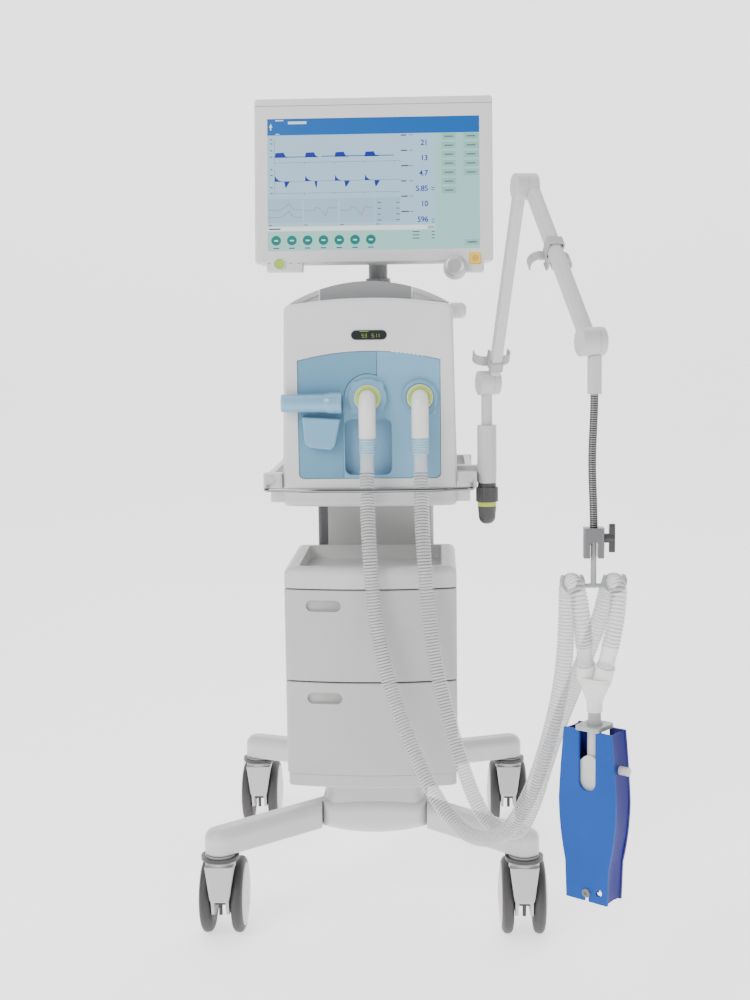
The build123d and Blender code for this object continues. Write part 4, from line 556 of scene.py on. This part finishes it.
# Plain bars stand where a display carries its labels.
READING_PITCH, PLOT_PITCH, FOOT_PITCH = 26.4, 62, 5.6
bars = []
for row in range(6):
    down = 31.8 + READING_PITCH * row
    bars += [block(231, down - 1.1, 240 + 2 * (row % 3), down + 1.1),
             block(245, down - 0.5, 252, down + 0.5)]
bars += [block(283, 122, 289, 123.4)]
bars += [block(283, down, 288, down + 1.4) for down in (126, 177, 182)]
bars += [block(2, 190, 22, 192.4)]
bars += [block(1 + PLOT_PITCH * part, 184, 8 + PLOT_PITCH * part, 185.2) for part in range(4)]
bars += [block(left, 147 + 10 * row, left + 6, 148.4 + 10 * row) for left in (190, 222) for row in range(4)]
bars += [block(left, 198 + FOOT_PITCH * row, right, 199.6 + FOOT_PITCH * row)
         for left, right in ((250, 262), (283, 288)) for row in range(3)]
bars += [block(9.5 + DIAL_PITCH * number, 223.4, 19 + DIAL_PITCH * number, 225.4) for number in range(7)]
bars += [block(306, middle - 0.8, 320.5, middle + 1) for middle in inner_rows]
bars += [block(344, middle - 0.8, 359, middle + 1) for middle in outer_rows]
bars.append(block(345, 217, 360, 219))
drawn("picture_bars", bars, ink, MARKS)
marks = [block(36, 5, 68, 9.5), block(14, 2, 28, 4), block(14, 26, 21, 27.4),
         [(6, 8), (3, 15), (5, 15), (5, 20), (7, 20), (7, 15), (9, 15)]]
marks += [block(11 + DIAL_PITCH * number, 210, 17.6 + DIAL_PITCH * number, 212.4) for number in range(7)]
drawn("picture_marks", marks, lit("picture_pale", (214, 232, 244)), MARKS)
READINGS = (("fraction", "21", 45.5), ("pressure", "13", 71.8), ("end_pressure", "4.7", 98.2),
            ("minute_volume", "5.85", 124.6), ("rate", "10", 151), ("tidal_volume", "596", 178))
READINGS_RIGHT, READINGS_HIGH = 277.5, 9.6
for name, text, down in READINGS:
    figures(name, text, READINGS_RIGHT, down, READINGS_HIGH, navy, MARKS)

# Seam of the alarm light bar, the white ring and lamps by the standby key, and the key's sign.
seam_grey = moulded("seam_grey", (0.23, 0.23, 0.235), (0.20, 0.20, 0.205), 0.5)
drawn("alarm_bar_seam", [block(-22.2, -22.6, 388.2, -21.6)], seam_grey, PRINT)
drawn("lamp_marks", [block(left, 250, right, 251.4) for left, right in ((0, 4), (37, 42), (51, 57))],
      seam_grey, PRINT)
STANDBY_AT, KNOB_AT, SILENCE_AT = (-163, -137), (140, -146), (174.5, -131.5)
STANDBY_RING = [(0.05, 8.7), (1.4, 8.8), (2.0, 9.6), (1.9, 11.0), (0.6, 12.0), (0.05, 12.1)]
ring = turned(STANDBY_RING, on_display(*STANDBY_AT, 0), SCREEN_OUT, RING_STEPS)
solid("standby_ring", *ring, case_plastic, "display_body", "white_plastic")
KNOB_DISH = [(15.45, 16.4), (16.2, 15.6), (16.5, 14.2), (16.0, 13.2), (15.75, 12.6), (15.6, 8), (15.5, 1)]
dish = turned(KNOB_DISH, on_display(*KNOB_AT, 0), SCREEN_OUT, 64)
solid("knob_dish", *dish, knob_metal.material, "display_knob_body", "dark_plastic")
SIGN_STEPS, SIGN_LIFT = 24, 1.9
sign_points, sign_faces = [], []
for outer, inner in ((4.6, 3.6), (1.5, 0.4)):
    first = len(sign_points)
    for radius in (outer, inner):
        for step in range(SIGN_STEPS):
            angle = step * 2 * pi / SIGN_STEPS
            sign_points.append(on_display(SILENCE_AT[0] + radius * cos(angle),
                                          SILENCE_AT[1] + radius * sin(angle), SIGN_LIFT))
    sign_faces += [tuple(first + index for index in face) for face in quads_round(2, SIGN_STEPS)]
sign_ink = moulded("sign_ink", (0.30, 0.16, 0.02), (0.26, 0.14, 0.02), 0.4)
solid("silence_sign", sign_points, sign_faces, sign_ink, "alarm_button_body", "yellow_plastic")

# ------------------------------------------------------------------ hose support arm
# Two sprung tube arms between disc knuckles, on a post in a clamp; a bendable metal neck hangs
# from the end and carries the hose hanger.
arm_paint = painted("arm_paint", (0.55, 0.55, 0.545), (0.52, 0.52, 0.515), 0.36)
coat(arm_paint, "arm_clamp", "arm_post", "lower_arm", "upper_arm", "end_link")
coat(brake_plastic, "wing_screw")
KNOB_BAND_Z, KNOB_BAND_HALF = 700.5, 0.0035
knob = Finish("release_knob_plastic", Coat_Weight=0.1)
lime_band = knob.z.band(at(0, 0, KNOB_BAND_Z).z, KNOB_BAND_HALF)
knob_black = knob.noise(20.0).blend((0.040, 0.040, 0.042), (0.055, 0.055, 0.058))
knob.feed("Base Color", lime_band.mix_over(knob_black, (0.48, 0.56, 0.05)))
knob.feed("Roughness", knob.noise(60.0) * 0.15 + 0.38)
knob.relief(knob.noise(900.0, 2.0), 0.00012, 0.5)
coat(knob.material, "release_knob")
clip_plastic = moulded("clip_plastic", (0.40, 0.405, 0.41), (0.36, 0.365, 0.37), 0.40)
coat(clip_plastic, "lower_arm_clips", "upper_arm_clips", "hanger")
steel = Finish("brushed_steel", Metallic=0.9, Base_Color=(0.20, 0.20, 0.21))
steel.feed("Roughness", steel.noise(250.0, 4.0) * 0.15 + 0.28)
steel.relief(steel.noise(500.0, 2.0), 0.0001, 0.4)
coat(steel.material, "fork_clamp")
WINDING_PITCH = 0.0031
wound = Finish("gooseneck_winding", Metallic=0.9)
turns = wound.z.waves(WINDING_PITCH)
# The grooves between the windings are painted near black, in step with the relief: painted shade in the
# grooves.
wound.feed("Base Color", turns.blend((0.02, 0.02, 0.022), (0.30, 0.30, 0.31)))
wound.feed("Roughness", wound.noise(250.0, 3.0) * 0.1 + 0.27)
wound.relief(turns, 0.0008, 0.9)
coat(wound.material, "gooseneck")

# ------------------------------------------------------------------ breathing hoses
# Two clear corrugated hoses, blown in one length with smooth cuffs, limp enough to hang in a
# deep loop from the ports up to the hanger and down to the Y-piece.
hose_clear = Finish("hose_clear", Coat_Weight=0.5, Coat_Roughness=0.1)
hose_facing = hose_clear.place.node("ShaderNodeLayerWeight", {}, {"Blend": 0.45}, 1)
hose_clear.feed("Base Color", hose_facing.blend((0.80, 0.80, 0.81), (0.52, 0.53, 0.54)))
hose_clear.feed("Alpha", hose_facing * 0.45 + 0.42)
hose_clear.feed("Roughness", hose_clear.noise(60.0, 3.0) * 0.10 + 0.14)
hose_clear.material.surface_render_method = "BLENDED"
# The valleys between the hose's ribs are drawn in a darker grey: painted shade where the corrugation folds
# in.
hose_valley_shade = Finish("hose_valley_shade", Coat_Weight=0.3, Coat_Roughness=0.15)
valley_shade_clouds = hose_valley_shade.noise(20.0).above(0.5, 0.2)
hose_valley_shade.feed("Base Color", valley_shade_clouds.blend((0.28, 0.285, 0.29), (0.34, 0.345, 0.35)))
hose_valley_shade.feed("Alpha", hose_valley_shade.noise(60.0) * 0.1 + 0.42)
hose_valley_shade.feed("Roughness", hose_valley_shade.noise(60.0, 3.0) * 0.10 + 0.2)
hose_valley_shade.material.surface_render_method = "BLENDED"

HOSE_LEFT = [
    (-3, -183, 790), (-3, -196, 722), (1, -233, 640), (8, -244, 538), (24, -260, 452),
    (48, -284, 384), (74, -311, 323), (105, -343, 262), (153, -392, 215), (210, -450, 238),
    (246, -488, 320), (269, -511, 404), (283, -526, 475), (290, -533, 538), (291.5, -537, 594),
    (292, -540, 644), (300, -588, 648), (307, -596, 604), (311, -588, 565), (314, -579, 533),
]
HOSE_RIGHT = [
    (84, -183, 790), (85, -196, 722), (88, -233, 640), (95, -243, 538), (107, -257, 452),
    (124, -277, 383), (143, -300, 318), (163, -323, 262), (188, -352, 222), (230, -401, 224),
    (252, -427, 282), (268, -446, 350), (287, -468, 420), (307, -491, 482), (325, -512, 541),
    (341, -531, 594), (350, -540, 644), (358, -588, 648), (354, -600, 604), (346, -600, 565),
    (340, -592, 533),
]
HOSE_R = 12.5
RIB_PITCH = 5.0
RIB_DEPTH = 2.1
RINGS_A_RIB = 6
CUFF_L = 30.0
CUFF_WALL, CUFF_BAND = 1.6, 0.45
# Share of each rib pitch whose faces take the painted valley shade.
VALLEY_FROM, VALLEY_TO = 0.25, 0.70
HOSE_STEPS = 20
# Where the stretches of a hose meet, as shares of the way from the loop's foot to its top.
STRETCH_ENDS = (0.22, 0.44, 0.66, 0.88)
BEND_FROM = 0.55


def centreline(name, route):
    """The smooth line that a route's points shape, as closely spaced places."""
    curve = bpy.data.curves.new(name, "CURVE")
    curve.dimensions = "3D"
    spline = curve.splines.new("NURBS")
    spline.points.add(len(route) - 1)
    for point, place in zip(spline.points, route):
        point.co = (*at(*place), 1)
    spline.order_u = 3
    spline.use_endpoint_u = True
    spline.resolution_u = 40
    holder = bpy.data.objects.new(name, curve)
    bpy.context.scene.collection.objects.link(holder)
    mesh = bpy.data.meshes.new_from_object(holder)
    line = [vertex.co.copy() for vertex in mesh.vertices]
    bpy.data.objects.remove(holder)
    bpy.data.meshes.remove(mesh)
    return line


def evenly(line, spacing):
    """The same line with places a fixed distance apart, and the length run so far at each."""
    places, runs = [line[0]], [0.0]
    gone, due = 0.0, spacing
    for before, after in zip(line, line[1:]):
        length = (after - before).length
        while gone + length >= due:
            places.append(before.lerp(after, (due - gone) / length))
            runs.append(due)
            due += spacing
        gone += length
    if gone - runs[-1] > spacing / 10:
        places.append(line[-1])
        runs.append(gone)
    return places, runs


def frames_along(places):
    """A square-on pair of directions at each place, carried along without twist."""
    side = (places[1] - places[0]).orthogonal().normalized()
    pairs = []
    for index, place in enumerate(places):
        before = places[max(index - 1, 0)]
        after = places[min(index + 1, len(places) - 1)]
        ahead = (after - before).normalized()
        side = (side - ahead * side.dot(ahead)).normalized()
        pairs.append((side, ahead.cross(side)))
    return pairs


def ringed(places, pairs, radii, first, last):
    """Points and faces of the stretch of tube from ring first to ring last."""
    points = []
    for index in range(first, last + 1):
        side, other = pairs[index]
        for step in range(HOSE_STEPS):
            angle = 2 * pi * step / HOSE_STEPS
            points.append(places[index] + (side * cos(angle) + other * sin(angle)) * radii[index])
    return points, quads_round(last - first + 1, HOSE_STEPS)


chain = ("trolley", "arm_post_body", "lower_arm_body", "upper_arm_body", "end_link_body", "hanger_body")
for side, route in (("left", HOSE_LEFT), ("right", HOSE_RIGHT)):
    line = centreline(f"hose_{side}_line", route)
    places, runs = evenly(line, RIB_PITCH * MM / RINGS_A_RIB)
    pairs = frames_along(places)
    whole = runs[-1]
    radii = []
    for run in runs:
        from_end = min(run, whole - run) / MM
        if from_end < CUFF_L:
            band = 1.0 if from_end < 5 or CUFF_L - 4 < from_end else CUFF_BAND
            radii.append((HOSE_R - CUFF_WALL + band) * MM)
        else:
            wave = 0.5 + 0.5 * cos(2 * pi * run / (RIB_PITCH * MM))
            radii.append((HOSE_R - RIB_DEPTH * (1 - wave ** 0.8)) * MM)
    # The hose is cut into one stretch for each pair of neighbours in the arm's chain of bodies.
    lowest = min(range(len(places)), key=lambda index: places[index].z)
    top = max(range(lowest, len(places)), key=lambda index: places[index].z)
    first = int(lowest * BEND_FROM)
    cuts = [0] + [first + int((top - first) * share) for share in STRETCH_ENDS] + [len(places) - 1]
    for number in range(len(chain) - 1):
        start, end = cuts[number], cuts[number + 1]
        tube = ringed(places, pairs, radii, start, end)
        stretch = solid(f"hose_{side}_{number + 1}", *tube, hose_clear.material, None, None, 60)
        stretch.data.materials.append(hose_valley_shade.material)
        # Faces in each rib's valley take the second material: painted shade in the valleys.
        for row in range(start, end):
            from_end = min(runs[row], whole - runs[row]) / MM
            if from_end > CUFF_L and VALLEY_FROM < (runs[row] / MM / RIB_PITCH) % 1 < VALLEY_TO:
                for step in range(HOSE_STEPS):
                    stretch.data.polygons[(row - start) * HOSE_STEPS + step].material_index = 1
        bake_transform(stretch)
        if number == 0:
            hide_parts(f"hose_{side}")
        runs[end] - runs[start]
        places[start:end - 1:5] + [places[end]]

# ------------------------------------------------------------------ Y-piece and test lung
# A frosted Y-piece joins both hoses to the grey collar of a test lung: a rubber bag between two
# waisted blue plates that are hinged at the foot.
frosted = clear_plastic("frosted_white", (0.86, 0.86, 0.84), (0.74, 0.75, 0.74), 0.80, 0.98, 0.30)
coat(frosted, "y_piece")
PLATE_SHINE = 0.22
lung_blue = moulded("lung_blue", (0.003, 0.070, 0.36), (0.002, 0.058, 0.31), 0.5,
                    Specular_IOR_Level=PLATE_SHINE)
# The rear plate and the folded side walls take a darker, more violet copy of the front plate's blue: painted
# shade, as both plates are the same blue.
lung_blue_shaded = moulded("lung_blue_shaded", (0.016, 0.016, 0.19), (0.013, 0.013, 0.16), 0.5,
                      Specular_IOR_Level=PLATE_SHINE)
coat(lung_blue, "lung_front_plate")
coat(lung_blue_shaded, "lung_rear_plate")
COLLAR_FOOT = 445
bag = Finish("lung_bag_rubber", Coat_Weight=0.2)
collar = bag.z.above(at(0, 0, COLLAR_FOOT).z, SHARP_EDGE)
rubber = bag.noise(12.0).above(0.5, 0.2).blend((0.56, 0.56, 0.54), (0.66, 0.66, 0.64))
bag.feed("Base Color", collar.mix_over(rubber, (0.36, 0.37, 0.375)))
bag.feed("Roughness", bag.noise(40.0) * 0.12 + 0.36)
bag.relief(bag.noise(160.0), 0.0003, 0.4)
coat(bag.material, "lung_bag")
LUNG_ACROSS, LUNG_AHEAD = 326, -585
LUNG_YAW = radians(-38)
LUNG_FACE = Vector((sin(LUNG_YAW), -cos(LUNG_YAW), 0))
LUNG_SIDE = Vector((cos(LUNG_YAW), sin(LUNG_YAW), 0))
PLATE_FACE, SCREW_Z = 19, 213
screw_grey = moulded("lung_screw_grey", (0.16, 0.165, 0.17), (0.13, 0.135, 0.14), 0.4)
SCREW = [(0.05, 6.4), (1.6, 6.3), (2.3, 5.4), (2.3, 2.4), (1.2, 2.2), (1.2, 0.4)]
screw_at = at(LUNG_ACROSS, LUNG_AHEAD, SCREW_Z) + LUNG_FACE * PLATE_FACE * MM
solid("lung_screw", *turned(SCREW, screw_at, LUNG_FACE, 36), screw_grey, "hanger_body", "lung_blue")
# Each folded side wall follows the plates' edge, given as half width and height.
EDGE = [(38, 443), (40.5, 422), (42.6, 400), (44.8, 372), (46, 344), (45.2, 322), (43, 299), (38.5, 275),
        (35, 254), (34, 228), (33, 203)]
WALL_FROM, WALL_TO = -17, 14.4
WALL_THICK, PRESSED_IN, EDGE_IN = 1.2, 2.6, 1.0
for hand, side in ((1, "right"), (-1, "left")):
    wall_points, wall_faces = [], []
    for across, up in EDGE:
        for depth in (WALL_FROM, 0.5 * (WALL_FROM + WALL_TO), WALL_TO):
            # The wall is pressed in a little at its middle, as a folded gusset is.
            inset = EDGE_IN if depth in (WALL_FROM, WALL_TO) else PRESSED_IN
            for skin in (0, WALL_THICK):
                wall_points.append(at(LUNG_ACROSS, LUNG_AHEAD, up)
                                   + LUNG_SIDE * (hand * (across - inset - skin) * MM)
                                   + LUNG_FACE * (depth * MM))
    for row in range(len(EDGE) - 1):
        low, high = 6 * row, 6 * row + 6
        for fold in (0, 2):
            wall_faces.append((low + fold, low + fold + 2, high + fold + 2, high + fold))
            wall_faces.append((low + fold + 1, high + fold + 1, high + fold + 3, low + fold + 3))
        wall_faces.append((low, high, high + 1, low + 1))
        wall_faces.append((low + 4, low + 5, high + 5, high + 4))
    last = 6 * (len(EDGE) - 1)
    for fold in (0, 2):
        wall_faces.append((fold, fold + 1, fold + 3, fold + 2))
        wall_faces.append((last + fold, last + fold + 2, last + fold + 3, last + fold + 1))
    # The side walls take the shaded copy of the plate blue: painted shade.
    solid(f"lung_gusset_{side}", wall_points, wall_faces, lung_blue_shaded, "lung_rear_body", "lung_blue")

# ------------------------------------------------------------------ floor, backdrop and light
# A pale sweep of seamless paper under soft overhead and front light.
PAPER_FRONT, CURVE_FROM, CURVE_R, PAPER_TOP, PAPER_HALF = -6.0, 3.0, 2.0, 7.0, 9
SWEEP = [(PAPER_FRONT, 0.0), (CURVE_FROM, 0.0)]
SWEEP += [(CURVE_FROM + CURVE_R * sin(radians(angle)), CURVE_R - CURVE_R * cos(radians(angle)))
          for angle in range(10, 91, 10)]
SWEEP.append((CURVE_FROM + CURVE_R, PAPER_TOP))
sweep_points, sweep_faces = [], []
for depth, height in SWEEP:
    sweep_points += [Vector((-PAPER_HALF, depth, height)), Vector((PAPER_HALF, depth, height))]
for row in range(len(SWEEP) - 1):
    sweep_faces.append((2 * row, 2 * row + 1, 2 * row + 3, 2 * row + 2))
paper = Finish("paper", Base_Color=(0.93, 0.93, 0.93), Roughness=0.9, Emission_Color=(1.0, 1.0, 1.0),
               Emission_Strength=1.3)
paper.relief(paper.noise(90.0, 2.0), 0.0005, 0.1)
solid("paper_sweep", sweep_points, sweep_faces, paper.material, None, None)


def softbox(name, place, target, wide, high, power):
    lamp = bpy.data.objects.new(name, bpy.data.lights.new(name, "AREA"))
    bpy.context.scene.collection.objects.link(lamp)
    lamp.data.shape = "RECTANGLE"
    lamp.data.size = wide
    lamp.data.size_y = high
    lamp.data.energy = power
    lamp.location = place
    lamp.rotation_euler = (Vector(target) - Vector(place)).to_track_quat("-Z", "Y").to_euler()


softbox("key_light", (-2.2, -3.0, 3.0), (0, 0, 0.8), 2.0, 2.4, 135)
softbox("fill_light", (2.6, -2.6, 1.6), (0, 0, 0.7), 1.8, 2.4, 26)
softbox("top_light", (0, 0.4, 3.6), (0, 0, 0.6), 3.0, 2.6, 62)
ROOM_LIGHT = 0.38
world = bpy.data.worlds.new("studio")
world.use_nodes = True
background = world.node_tree.nodes["Background"]
background.inputs["Color"].default_value = (1, 1, 1, 1)
background.inputs["Strength"].default_value = ROOM_LIGHT
bpy.context.scene.world = world
